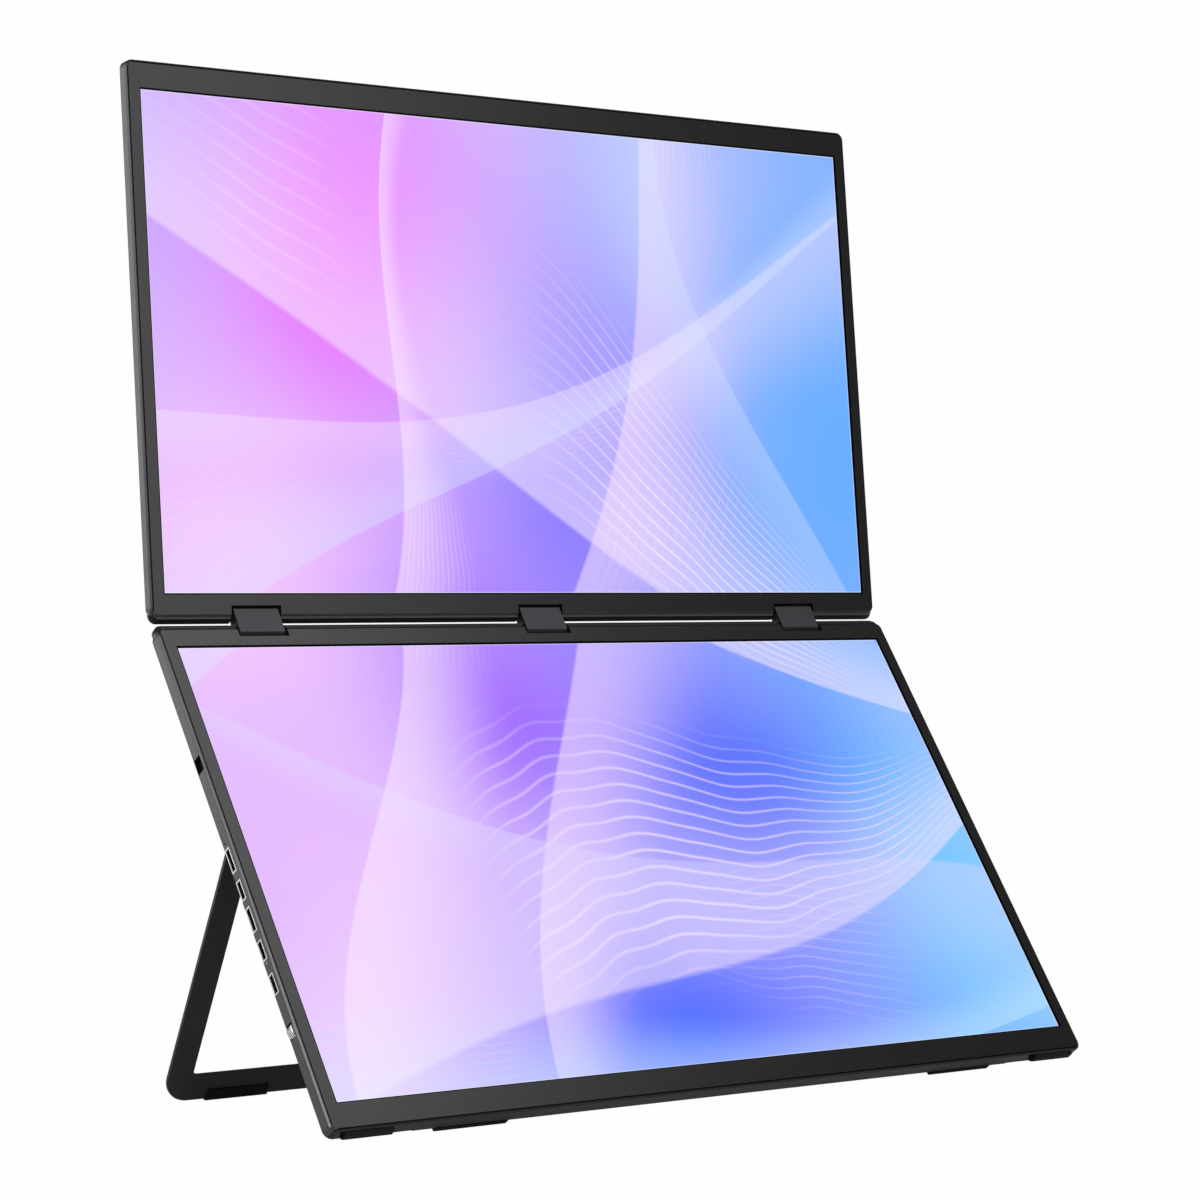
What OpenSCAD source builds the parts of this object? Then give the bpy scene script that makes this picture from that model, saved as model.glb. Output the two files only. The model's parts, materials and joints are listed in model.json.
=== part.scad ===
// Dual-screen portable monitor: two slim displays joined by three double hinges, on a folding rear stand.
// Millimetres. X runs along the hinges, the screens face -Y, +Z is up, and the feet stand on z = 0.

/* [Screens] */
// Width of the lit area of one screen
active_w = 408.96; // [380:0.01:440]
// Height of the lit area of one screen
active_h = 230.04; // [215:0.01:248]

/* [Displays] */
// Frame width beside the lit area, left and right
bezel_side = 7.5; // [7:0.1:14]
// Frame width between the lit area and the hinge edge
bezel_hinge = 10.8; // [10.4:0.1:16]
// Frame width between the lit area and the edge away from the hinge
bezel_far = 13.4; // [12.4:0.1:20]
// Thickness of the lower display at its edges
lower_t = 7.6; // [7.4:0.1:10]
// Thickness of the upper display
upper_t = 6.2; // [6.2:0.1:9]
// Corner radius of a display, seen from the front
corner_r = 4; // [2.5:0.1:8]
// Chamfer around the front edge of a rear cover
front_chamfer = 0.9; // [0.3:0.1:1.1]
// Chamfer around the back edge of a rear cover
back_chamfer = 0.6; // [0.2:0.1:1]
// Thickness of a rear cover's side walls
wall = 1.3; // [1.1:0.1:2]
// Thickness of a rear cover's back
back_t = 1.0; // [0.8:0.1:1.3]
// Thickness of a front frame
lip_t = 0.8; // [0.6:0.05:0.9]
// Width of the rear cover's rim that shows around the front frame
rim_w = 1.05; // [0.5:0.05:1.2]
// Seam between the front frame and the rim
seam = 0.1; // [0.05:0.01:0.2]
// How far the rim stays behind the front face
rim_recess = 0.1; // [0:0.05:0.3]
// Free space between the lit area and the front frame's opening
window_gap = 0.3; // [0.1:0.1:0.8]
// How far the rear covers reach past the front frames at the hinges
hinge_reach = 3; // [1.5:0.1:3]
// Chamfer at the front of that edge
hinge_chamfer = 2; // [1:0.1:2.2]
// Chamfer at the back of that edge
hinge_back_chamfer = 1.8; // [1.6:0.1:2.4]

/* [Display stack] */
// Thickness of the LCD panel
lcd_t = 0.9; // [0.7:0.05:1]
// Glass border around the lit area
lcd_border = 1.3; // [1:0.1:1.6]
// Thickness of the light guide
guide_t = 1.0; // [0.7:0.05:1.1]
// Thickness of the mid plate
mid_t = 0.4; // [0.3:0.05:0.5]
// Height of the LED strip, away from the hinge
led_h = 1.6; // [1:0.1:2.2]
// Gap between neighbouring layers
layer_gap = 0.05; // [0.02:0.01:0.08]

/* [Display hinges] */
// Distance of the outer hinges from the middle
hinge_x = 158; // [110:1:175]
// Distance between the two pins of one link
hinge_span = 10.7; // [10:0.1:13]
// Depth of the pins behind the front face
axis_depth = 3.1; // [3:0.05:3.3]
// Distance of the pins inside the display's edge
axis_inset = 1.5; // [1.2:0.1:2]
// Width of a link
link_w = 23.5; // [16:0.5:34]
// Distance from a pin to the flat front, back and end of its link
link_r = 3.0; // [2.7:0.05:3]
// Half length of the flat on a link's end and beyond its pins
link_flat = 0.85; // [0.6:0.05:1]
// Gap between a link and the notch beside it
link_gap = 1.25; // [0.8:0.05:2]
// Gap between a link's end and the bottom of the notch
notch_gap = 0.6; // [0.4:0.05:1]
// Radius of a hinge pin
pin_r = 1.2; // [1:0.05:1.3]
// Radial running clearance of every hinge pin
pin_fit = 0.05; // [0.02:0.01:0.09]
// Outer radius of a bracket's knuckle
knuckle_r = 2.1; // [1.9:0.05:2.1]
// Length of a bracket's knuckle
knuckle_l = 7; // [5:0.5:10]
// Thickness of a bracket's leaf
leaf_t = 1.0; // [0.8:0.05:1.1]
// How far a bracket's leaf reaches from the display's edge
leaf_z = 24; // [18:1:30]
// Radius of the cable to the upper display
cable_r = 0.55; // [0.4:0.05:0.6]

/* [Rest pose] */
// Backward lean of the lower display from vertical
lower_lean = 33.2; // [28:0.1:36]
// Backward lean of the links from vertical
link_lean = 30.5; // [20:0.1:34]
// Backward lean of the upper display from vertical
upper_lean = 2.7; // [0:0.1:15]

/* [Stand] */
// Distance of the stand's pivot from the lower display's hinge edge
stand_z = 71.1; // [66:0.1:80]
// Outer width of the stand frame
stand_w = 370; // [365:1:374]
// Width of the stand's legs
leg_w = 12.8; // [11:0.1:13.5]
// Height of the stand's bar
bar_h = 13.7; // [11:0.1:15]
// Distance of the closed stand's bar from the lower display's bottom edge
stand_end = 5.84; // [5.6:0.02:12]
// Thickness of the stand frame
stand_t = 2; // [1.6:0.1:2.2]
// Outer corner radius of the stand frame
stand_corner_r = 13; // [6:0.5:16]
// Inner corner radius of the stand frame
stand_inner_r = 3; // [1.5:0.5:6]
// Gap between the closed stand and the rear cover
stand_gap = 0.12; // [0.1:0.01:0.3]
// How far the pivot lies in front of the middle of the frame's thickness
pivot_offset = 0.5; // [0:0.1:0.7]
// Outer radius of the stand's barrels
barrel_r = 2.1; // [1.9:0.05:2.2]
// Radius of the stand's pins
stand_pin_r = 1.2; // [1:0.05:1.3]
// Length of each ear of a stand bracket
ear_l = 7.5; // [5:0.5:9]
// Side gap between an ear and the leg between them
ear_gap = 0.3; // [0.2:0.05:0.5]

/* [Feet] */
// Length of a front foot
foot_l = 23.6; // [16:0.2:26]
// Distance of a front foot's middle from the display's side
foot_side = 18.78; // [17:0.02:30]
// How far the front feet stand below the lower display
foot_drop = 2; // [1.5:0.1:3]
// Depth behind the front face at which a front foot's sole begins
foot_toe = 1.4; // [1:0.1:2]
// Height of a front foot at its back
foot_heel = 0.8; // [0.4:0.1:1.4]
// Height that is cut away where a stand foot stands on the table
foot_cut = 1; // [0.6:0.1:1.3]
// Length of a stand foot
shoe_l = 33.2; // [20:0.2:40]
// Distance of a stand foot's middle from the centre line
shoe_x = 146; // [120:1:150]
// Height of a stand foot on the bar's face
shoe_h = 5.3; // [4:0.1:7]
// How far a stand foot stands below the bar
shoe_drop = 1.6; // [1.2:0.1:2]
// How far a stand foot stands proud of the bar's faces
shoe_proud = 0.7; // [0.4:0.1:0.8]
// Length of a pad behind the bottom edge
pad_l = 37.4; // [20:0.2:50]
// Distance of a pad's middle from the centre line
pad_x = 138.6; // [100:0.2:148]
// How far the pads stand proud of the strip behind the bottom edge
pad_proud = 1.2; // [0.8:0.1:1.5]
// How far the pads reach below the lower display
pad_over = 0.2; // [0:0.1:0.6]
// Height that is cut away where a pad stands on the table
pad_cut = 0.3; // [0.1:0.1:0.5]

/* [Raised back] */
// Width of the raised part of the lower rear cover
raised_w = 338.6; // [320:0.2:340]
// Distance of the raised part from the hinge edge
raised_z = 24; // [18:1:40]
// Height of the raised strip below the stand's bar
strip_h = 3; // [2.4:0.1:3.2]

/* [Sockets and wheel] */
// Depth of the sockets' middle behind the front face
port_depth = 4.95; // [4.9:0.05:5.1]
// Length of the sockets into the housing
port_l = 7.6; // [6:0.1:9]
// Width of the bright flange around a socket's mouth
flange = 0.35; // [0.1:0.05:0.5]
// Radius of the control wheel in the side wall
wheel_r = 3.5; // [2.8:0.1:3.6]
// Thickness of the control wheel
wheel_w = 4; // [2.5:0.1:4.2]
// How far the control wheel stands out of the side wall
wheel_proud = 1.2; // [1.1:0.05:1.4]
// Distance that the wheel and its cradle can be pushed in
wheel_travel = 0.3; // [0.1:0.05:0.3]
// Distance of the wheel from the hinge edge
wheel_z = 204.6; // [202:0.1:208]
// Number of grooves around the wheel
wheel_grooves = 28; // [12:1:36]
// Width of the notch in the side at the stand's pivot
side_notch_h = 7.4; // [6.6:0.1:8]

/* [Screws] */
// Shank radius of the small screws
screw_r = 0.75; // [0.6:0.05:0.9]
// Head radius of the small screws
head_r = 1.5; // [1.2:0.05:1.8]
// Head thickness of the small screws
head_t = 0.7; // [0.5:0.05:0.75]
// Radius of a screw boss
boss_r = 2; // [1.7:0.05:2.2]

/* [Hidden] */
$fn = 48;

// Overshoot of a cutting shape past the face that it opens
eps = 0.5;
panel_w = active_w + 2 * bezel_side;
panel_h = active_h + bezel_hinge + bezel_far;

// Depths of the layers behind the front face
lcd_y = lip_t + layer_gap;
guide_y = lcd_y + lcd_t + layer_gap;
mid_y = guide_y + guide_t + layer_gap;
stack_y = mid_y + mid_t;
lcd_z0 = bezel_hinge - lcd_border;
lcd_z1 = bezel_hinge + active_h + lcd_border;
guide_z1 = lcd_z1 - led_h - 2 * layer_gap;

// Notch for one link, from the display's edge: round where the link turns, and open at the back up to
// notch_back_h
notch_w = link_w + 2 * link_gap;
notch_h = axis_inset + link_r + notch_gap;
notch_wall = 0.9;
hinge_edge_z = notch_h + notch_wall;
link_sweep = norm([link_r, link_flat]) + 0.15;
notch_back_h = axis_inset + link_sweep * 0.58;
knuckle_x = notch_w / 2 + notch_wall + 0.2;
pin_l = 2 * (knuckle_x + knuckle_l);
leaf_y = axis_depth + knuckle_r - leaf_t;
leaf_z0 = notch_h + notch_wall + 0.15;
bracket_screw_x = knuckle_x + knuckle_l / 2;
bracket_screw_z = leaf_z - 4;
hinge_places = [-hinge_x, 0, hinge_x];

// Stand, in its own plane: the pivot line is at z = 0 and the bar hangs below it
stand_len = panel_h - stand_z - stand_end;
frame_depth = lower_t + stand_gap + stand_t / 2;
stand_depth = frame_depth - pivot_offset;
ear_in = stand_w / 2 - leg_w - ear_gap - ear_l;
ear_out = stand_w / 2 + ear_gap;
bracket_base_t = 0.6;
groove_y = stand_depth - barrel_r - 0.25 - bracket_base_t - 0.05;
groove_h = side_notch_h;
groove_wall = 0.8;
shoe_reach = stand_len + shoe_drop;
shoe_front = stand_t / 2 + shoe_proud - pivot_offset;
raised_t = stand_t + stand_gap;
raised_z1 = stand_z + stand_len - bar_h - 0.6;
strip_z = panel_h - back_chamfer - strip_h;

// Front feet, and the pads that the lower display stands on
foot_x = panel_w / 2 - foot_side;
foot_back = lower_t - 1.2;
foot_mid = foot_back - (foot_drop - foot_heel) / tan(lower_lean);
strip_y = lower_t + raised_t - 0.3;
pad_y = strip_y + pad_proud;

// Heights of the two lower axes and the stand's lean, worked out from where pads and stand feet meet z = 0
pivot_gap_z = stand_z - axis_inset;
lower_axis_z = (pad_y - axis_depth) * sin(lower_lean)
    + (panel_h + pad_over - axis_inset) * cos(lower_lean) - pad_cut;
pivot_z = lower_axis_z - (stand_depth - axis_depth) * sin(lower_lean) - pivot_gap_z * cos(lower_lean);
shoe_radius = sqrt(pow(shoe_reach, 2) + pow(shoe_front, 2));
stand_lean = atan2(shoe_front, shoe_reach) + acos((pivot_z + foot_cut) / shoe_radius);
stand_open = stand_lean + lower_lean;

// Along Y, the part is centred between the lower display's front foot and the stand's rear
front_y = (foot_toe - axis_depth) * cos(lower_lean) - (panel_h + foot_drop - axis_inset) * sin(lower_lean);
pivot_dy = (stand_depth - axis_depth) * cos(lower_lean) - pivot_gap_z * sin(lower_lean);
rear_y = pivot_dy + shoe_reach * sin(stand_lean) + (stand_t / 2 + pivot_offset) * cos(stand_lean);
lower_axis_y = -(front_y + rear_y) / 2;
pivot_y = lower_axis_y + pivot_dy;
upper_axis_y = lower_axis_y + hinge_span * sin(link_lean);
upper_axis_z = lower_axis_z + hinge_span * cos(link_lean);

// Places of the sockets, measured from the hinge edge
hdmi_z = [119.7, 149.5];
usb_z = [134.8, 164.8, 181.2];
hdmi_size = [11.2, 3.2];
usb_size = [8.94, 3.26];
shell_t = 0.3;
status_z = 170.8;
reset_z = 111.3;
board_y = port_depth + usb_size[1] / 2 - 0.9;
board_t = 0.8;
speaker_size = [46, 22];
speaker_inset = 11.5;
speaker_x = [raised_w / 2 - speaker_inset - speaker_size[0], raised_w / 2 - speaker_inset];
speaker_z = [raised_z1 - speaker_inset - speaker_size[1], raised_z1 - speaker_inset];
slot_inset = 8;
board_gap = 6;
board_wide = 100;
board_x0 = -panel_w / 2 + port_l + 0.4;
board_x1 = -speaker_x[1] - board_gap;
board_x2 = board_x1 + board_wide;
board_z = [98, speaker_z[0] - board_gap - 2, speaker_z[1] - board_gap - 2];
board_screws_at = [for (x = [board_x1 + 4, board_x2 - 6], z = [board_z[0] + 6, board_z[1] - 6]) [x, z]];
driver_x = [30, 120];
ribbon_inset = 26;
mid_slot_x = 0.3 * active_w;
driver_z = [34, 78];
driver_y = upper_t - back_t - board_t - 0.1;

// Control wheel: its axle stands in a cradle that slides into the housing
wheel_x = -panel_w / 2 - wheel_proud + wheel_r;
wheel_y = (front_chamfer + rim_recess + lower_t - back_chamfer) / 2;
axle_r = 0.6;
cheek_t = 0.3;
cheek_gap = 0.1;
cradle_h = wheel_r + 0.3;
cradle_t = wheel_w + 2 * cheek_gap + 2 * cheek_t;
slot_h = sqrt(pow(wheel_r, 2) - pow(wheel_r - wheel_proud - wall, 2)) + 0.1;
tab_x = -active_w / 2 - lcd_border + 0.8;

cover_screw_z = [bezel_hinge - lcd_border - boss_r - 1.2, lcd_z1 + boss_r + 2.6];
corner_screw_x = active_w / 2 - 4.48;
cover_screw_x = [for (share = [-1, -0.55, -0.25, 0.25, 0.55, 1]) share * corner_screw_x];

echo(lower_axis = [0, lower_axis_y, lower_axis_z] / 1000);
echo(upper_axis = [0, upper_axis_y, upper_axis_z] / 1000);
echo(stand_axis = [0, pivot_y, pivot_z] / 1000);
echo(stand_lean = stand_lean, stand_open = stand_open, link_turn = lower_lean - link_lean);
echo(link_to_upper = link_lean - upper_lean, panel_w = panel_w, panel_h = panel_h);

// Places children drawn in a display's own frame: x across, y behind the front face, z from the hinge edge
module on_lower() {
    translate([0, lower_axis_y, lower_axis_z]) rotate([-lower_lean, 0, 0]) mirror([0, 0, 1])
        translate([0, -axis_depth, -axis_inset]) children();
}

module on_upper() {
    translate([0, upper_axis_y, upper_axis_z]) rotate([-upper_lean, 0, 0])
        translate([0, -axis_depth, -axis_inset]) children();
}

// Places children drawn with the lower pin on the origin and the upper pin above it
module on_link() {
    translate([0, lower_axis_y, lower_axis_z]) rotate([-link_lean, 0, 0]) children();
}

// Places children drawn in the stand's plane, with the pivot line on the origin
module on_stand() {
    translate([0, pivot_y, pivot_z]) rotate([stand_lean, 0, 0]) children();
}

// Everything above the table
module above_table() {
    intersection() {
        children();
        translate([0, 0, panel_h]) cube([3 * panel_w, 3 * panel_w, 2 * panel_h], center = true);
    }
}

module both_sides() {
    children();
    mirror([1, 0, 0]) children();
}

// Box given by its lowest and highest corners
module span(a, b) {
    translate(a) cube(b - a);
}

module rod_x(r, x0, x1, at = [0, 0]) {
    translate([x0, at[0], at[1]]) rotate([0, 90, 0]) cylinder(r = r, h = x1 - x0);
}

module rod_y(r, y0, y1, at = [0, 0]) {
    translate([at[0], y0, at[1]]) rotate([-90, 0, 0]) cylinder(r = r, h = y1 - y0);
}

// Outline with round corners from (x0, z0) to (x1, z1)
module round_outline(x0, z0, x1, z1, r) {
    translate([x0 + r, z0]) square([x1 - x0 - 2 * r, z1 - z0]);
    translate([x0, z0 + r]) square([x1 - x0, z1 - z0 - 2 * r]);
    for (x = [x0 + r, x1 - r], z = [z0 + r, z1 - r]) translate([x, z]) circle(r);
}

// Plate of an outline drawn in x and z, from depth y0 to y1
module plate(y0, y1) {
    translate([0, y1, 0]) rotate([90, 0, 0]) linear_extrude(y1 - y0) children();
}

// Slab with round corners and chamfered front and back edges
module slab(w, z0, z1, y0, y1, r, c0, c1) {
    t = y1 - y0;
    hw = w / 2;
    for (x = [-hw + r, hw - r], z = [z0 + r, z1 - r])
        translate([x, y0, z]) rotate([-90, 0, 0]) rotate_extrude()
            polygon([[0, 0], [r - c0, 0], [r, c0], [r, t - c1], [r - c1, t], [0, t]]);
    translate([-hw + r, 0, 0]) rotate([90, 0, 90]) linear_extrude(w - 2 * r)
        polygon([[y0, z0 + c0], [y0 + c0, z0], [y1 - c1, z0], [y1, z0 + c1],
            [y1, z1 - c1], [y1 - c1, z1], [y0 + c0, z1], [y0, z1 - c0]]);
    translate([0, 0, z0 + r]) linear_extrude(z1 - z0 - 2 * r)
        polygon([[-hw + c0, y0], [hw - c0, y0], [hw, y0 + c0], [hw, y1 - c1],
            [hw - c1, y1], [-hw + c1, y1], [-hw, y1 - c1], [-hw, y0 + c0]]);
}

// Screw with its head's outer face at y1 and its tip at y0
module small_screw(at, y0, y1) {
    rod_y(screw_r, y0, y1 - head_t, at);
    difference() {
        rod_y(head_r, y1 - head_t, y1, at);
        for (turn = [0, 90]) translate([at[0], y1, at[1]]) rotate([0, turn, 0])
            cube([head_r * 1.1, head_t, 0.4], center = true);
    }
}

module cover_screw_places() {
    for (x = cover_screw_x, z = cover_screw_z) translate([x, 0, z]) children();
}

// Front frame of one display, with its window, hinge notches and screw bosses
module front_frame(t) {
    inset = rim_w + seam;
    difference() {
        union() {
            difference() {
                plate(0, lip_t) round_outline(-panel_w / 2 + inset, inset, panel_w / 2 - inset,
                    panel_h - inset, corner_r - inset);
                for (x = hinge_places)
                    span([x - notch_w / 2, -eps, -eps], [x + notch_w / 2, lip_t + eps, notch_h]);
            }
            cover_screw_places() rod_y(boss_r, lip_t - layer_gap, t - back_t - 0.05);
        }
        plate(-eps, lip_t + eps) round_outline(-active_w / 2 - window_gap, bezel_hinge - window_gap,
            active_w / 2 + window_gap, bezel_hinge + active_h + window_gap, 0.4);
        cover_screw_places() rod_y(screw_r + 0.05, lip_t + 0.6, t);
    }
}

// Room for the pin, the knuckle and the leaf beside one hinge notch
module knuckle_room(x) {
    for (side = [-1, 1]) {
        a = x + side * (knuckle_x - 0.15);
        b = x + side * (knuckle_x + knuckle_l + 2);
        span([min(a, b), lip_t + layer_gap, rim_w], [max(a, b), axis_depth + knuckle_r + 0.15, notch_h]);
        rod_x(knuckle_r + 0.15, min(a, b), max(a, b), [axis_depth, axis_inset]);
        rod_x(pin_r + 0.35, x - pin_l / 2, x + pin_l / 2, [axis_depth, axis_inset]);
    }
}

module bracket_screw_places() {
    for (x = hinge_places, side = [-1, 1])
        translate([x + side * bracket_screw_x, 0, bracket_screw_z]) children();
}

// Tray that both rear covers share
module tray(t) {
    difference() {
        union() {
            hollow_tray(t);
            bracket_screw_places() rod_y(boss_r, leaf_y + leaf_t + 0.05, t - back_t / 2);
        }
        bracket_screw_places() rod_y(screw_r + 0.05, leaf_y, t - 0.45);
    }
}

module hollow_tray(t) {
    inner = panel_w / 2 - wall;
    difference() {
        union() {
            slab(panel_w, 0, panel_h, rim_recess, t, corner_r, front_chamfer, back_chamfer);
            slab(panel_w, -hinge_reach, hinge_edge_z, rim_recess + front_chamfer, t, corner_r, hinge_chamfer,
                hinge_back_chamfer);
        }
        plate(-eps, lip_t + layer_gap) round_outline(-panel_w / 2 + rim_w, rim_w, panel_w / 2 - rim_w,
            panel_h - rim_w, corner_r - rim_w);
        difference() {
            plate(-eps, t - back_t) round_outline(-inner, wall, inner, panel_h - wall, corner_r - wall);
            for (x = hinge_places)
                span([x - notch_w / 2 - notch_wall, lip_t + layer_gap, 0],
                    [x + notch_w / 2 + notch_wall, t, notch_h + notch_wall]);
        }
        for (x = hinge_places) {
            span([x - notch_w / 2, -eps, -hinge_reach - eps], [x + notch_w / 2, axis_depth, notch_h]);
            span([x - notch_w / 2, axis_depth - eps, -hinge_reach - eps],
                [x + notch_w / 2, t + eps, notch_back_h]);
            rod_x(link_sweep, x - notch_w / 2, x + notch_w / 2, [axis_depth, axis_inset]);
            knuckle_room(x);
        }
        cover_screw_places() {
            rod_y(screw_r + 0.1, 0, t + eps);
            rod_y(head_r + 0.1, t - head_t - 0.02, t + eps);
        }
    }
}

module lcd_panel() {
    plate(lcd_y, lcd_y + lcd_t) round_outline(-active_w / 2 - lcd_border, lcd_z0,
        active_w / 2 + lcd_border, lcd_z1, 0.8);
}

module light_guide() {
    span([-active_w / 2 - lcd_border, guide_y, lcd_z0],
        [active_w / 2 + lcd_border, guide_y + guide_t, guide_z1]);
}

// Strip with its row of light sources against the light guide's edge
module led_strip() {
    z0 = guide_z1 + layer_gap;
    lamp = [3.4, 0.7, 0.6];
    span([-active_w / 2, guide_y, z0 + lamp[2]], [active_w / 2, guide_y + guide_t, z0 + led_h]);
    count = 36;
    for (i = [0 : count - 1])
        translate([(i - (count - 1) / 2) * active_w / count, guide_y + guide_t / 2, z0 + lamp[2] / 2])
            cube(lamp, center = true);
}

// Steel plate behind the light guide, with two pressed stiffening slots
module mid_plate() {
    difference() {
        span([-active_w / 2 - lcd_border, mid_y, lcd_z0], [active_w / 2 + lcd_border, mid_y + mid_t, lcd_z1]);
        for (x = [-mid_slot_x, 0, mid_slot_x])
            plate(mid_y - eps, mid_y + mid_t + eps)
                round_outline(x - 30, panel_h / 2 - 6, x + 30, panel_h / 2 + 6, 5.9);
    }
}

module cover_screws(t) {
    cover_screw_places() small_screw([0, 0], lip_t + 1.2, t - 0.02);
}

// Hinge bracket: two knuckles beside the notch and a leaf behind the screen
module hinge_bracket(x) {
    reach = knuckle_x + knuckle_l;
    translate([x, 0, 0]) difference() {
        union() {
            both_sides() {
                rod_x(knuckle_r, knuckle_x, reach, [axis_depth, axis_inset]);
                span([knuckle_x, leaf_y, axis_inset], [reach, leaf_y + leaf_t, leaf_z0 + 1]);
            }
            span([-reach, leaf_y, leaf_z0], [reach, leaf_y + leaf_t, leaf_z]);
        }
        rod_x(pin_r + pin_fit, -reach - eps, reach + eps, [axis_depth, axis_inset]);
        both_sides() rod_y(screw_r + 0.1, leaf_y - eps, leaf_y + leaf_t + eps,
            [bracket_screw_x, bracket_screw_z]);
    }
}

module bracket_screws(t) {
    bracket_screw_places() mirror([0, 1, 0]) small_screw([0, 0], 0.5 - t, -leaf_y + head_t);
}

// Link: a metal block with eight-sided section, bored for both pins
module hinge_link(x, hollow) {
    f = link_flat;
    r = link_r;
    s = hinge_span;
    translate([x, 0, 0]) difference() {
        translate([-link_w / 2, 0, 0]) rotate([90, 0, 90]) linear_extrude(link_w)
            polygon([[-r, -f], [-f, -r], [f, -r], [r, -f], [r, s + f], [f, s + r], [-f, s + r], [-r, s + f]]);
        for (z = [0, s]) rod_x(pin_r + 0.01, -link_w, link_w, [0, z]);
        if (hollow) cylinder(r = cable_r + 0.25, h = s);
    }
}

// Hinge pin; the middle pair is hollow and slotted where the cable turns off
module hinge_pin(x, z, hollow) {
    translate([x, 0, z]) difference() {
        rod_x(pin_r, -pin_l / 2, pin_l / 2);
        if (hollow) {
            rod_x(cable_r + 0.15, -pin_l, pin_l);
            translate([0, 0, z > 0 ? -pin_r : pin_r])
                cube([2 * cable_r + 0.5, 2 * cable_r + 0.3, 2 * pin_r], center = true);
        }
    }
}

// Round cable along straight runs between points
module cable(points) {
    for (i = [0 : len(points) - 2]) {
        d = points[i + 1] - points[i];
        translate(points[i]) rotate([0, acos(d[2] / norm(d)), atan2(d[1], d[0])])
            cylinder(r = cable_r, h = norm(d));
    }
    for (i = [1 : len(points) - 2]) translate(points[i]) sphere(cable_r + 0.04);
}

module socket_room(z, size) {
    translate([-panel_w / 2, port_depth, z]) {
        cube([2 * wall + eps, size[1] + 0.1, size[0] + 0.1], center = true);
        cube([1.1, size[1] + 2 * flange + 0.1, size[0] + 2 * flange + 0.1], center = true);
    }
}

// Slot for the control wheel
module wheel_slot() {
    translate([-panel_w / 2, wheel_y, wheel_z])
        cube([2 * wall + eps, wheel_w + 0.2, 2 * slot_h], center = true);
}

// Slots in the back over the speakers
module speaker_slots() {
    for (i = [0 : 4])
        plate(lower_t, lower_t + raised_t + eps) round_outline(speaker_x[0] + slot_inset,
            speaker_z[0] + 4 + 3 * i, speaker_x[1] - slot_inset, speaker_z[0] + 5.2 + 3 * i, 0.59);
}

// Groove across the back at the stand's pivot, and its lining
module groove(extra, out) {
    span([ear_in - 0.4 - extra, groove_y - extra, stand_z - groove_h / 2 - extra],
        [ear_out + ear_l + 0.4 + extra, lower_t + (out ? raised_t + eps : 0), stand_z + groove_h / 2 + extra]);
}

// Pocket in the side face level with the groove, and its lining
module side_notch(extra) {
    depth = wall + 0.9;
    front = rim_recess + front_chamfer + 0.1;
    span([panel_w / 2 - depth - extra, front - (extra > 0 ? 0.1 : 0), stand_z - groove_h / 2 - extra],
        [panel_w / 2 + (extra > 0 ? -wall : eps), lower_t - back_t * (extra > 0 ? 0.5 : 1),
            stand_z + groove_h / 2 + extra]);
}

// Pocket in the back for one foot of the closed stand, and its lining
module shoe_pocket(extra) {
    low = lower_t + stand_gap - shoe_proud - 0.15;
    span([shoe_x - shoe_l / 2 - 0.5 - extra, low - extra, stand_z + stand_len - shoe_h - 0.5 - extra],
        [shoe_x + shoe_l / 2 + 0.5 + extra, lower_t + (extra > 0 ? 0 : eps), stand_z + shoe_reach + 0.5 + extra]);
}

// Strip across the back below the stand's bar
module bottom_strip(extra) {
    slab(raised_w + 2 * extra, strip_z - extra, strip_z + strip_h + extra, lower_t - 0.3, strip_y + extra,
        1.4, 0, 0.6);
}

module lower_rear_cover() {
    color("dimgray") on_lower() difference() {
        union() {
            tray(lower_t);
            slab(raised_w, raised_z, raised_z1, lower_t - back_t, lower_t + raised_t, 10, 0, 1);
            bottom_strip(0);
            both_sides() {
                groove(groove_wall, false);
                side_notch(groove_wall);
                shoe_pocket(groove_wall);
            }
            for (at = board_screws_at) rod_y(boss_r, board_y + board_t + 0.05, lower_t + raised_t - 0.3, at);
            for (side = [-1, 1]) translate([wheel_x, 0, wheel_z + side * (cradle_h + 0.75)])
                span([-1, wheel_y, -0.4], [2.4, lower_t - back_t / 2, 0.4]);
        }
        difference() {
            plate(lower_t - back_t - eps, lower_t + raised_t - back_t)
                round_outline(-raised_w / 2 + 1.6, raised_z + 1.6, raised_w / 2 - 1.6, raised_z1 - 1.6, 8.4);
            both_sides() {
                groove(groove_wall, true);
                span([ear_in - 0.4 - groove_wall, groove_y, stand_z - groove_h / 2 - groove_wall],
                    [raised_w / 2, lower_t + raised_t, stand_z + groove_h / 2 + groove_wall]);
                shoe_pocket(groove_wall);
            }
            for (at = board_screws_at) rod_y(boss_r, board_y, lower_t + raised_t, at);
        }
        both_sides() {
            groove(0, true);
            side_notch(0);
            shoe_pocket(0);
        }
        for (z = hdmi_z) socket_room(z, hdmi_size);
        for (z = usb_z) socket_room(z, usb_size);
        for (z = [status_z, reset_z])
            rod_x(0.55, -panel_w / 2 - eps, -panel_w / 2 + wall + eps, [port_depth, z]);
        wheel_slot();
        both_sides() speaker_slots();
        for (at = board_screws_at) rod_y(screw_r + 0.05, board_y, lower_t + raised_t - back_t, at);
    }
}

module lower_front_frame() {
    color("#26262a") on_lower() front_frame(lower_t);
}

module lower_lcd_panel() {
    color("#b59cf0") on_lower() lcd_panel();
}

module lower_light_guide() {
    color("whitesmoke") on_lower() light_guide();
}

module lower_led_strip() {
    color("lightyellow") on_lower() led_strip();
}

module lower_mid_plate() {
    color("silver") on_lower() mid_plate();
}

module lower_cover_screws() {
    color("#333333") on_lower() cover_screws(lower_t);
}

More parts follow.
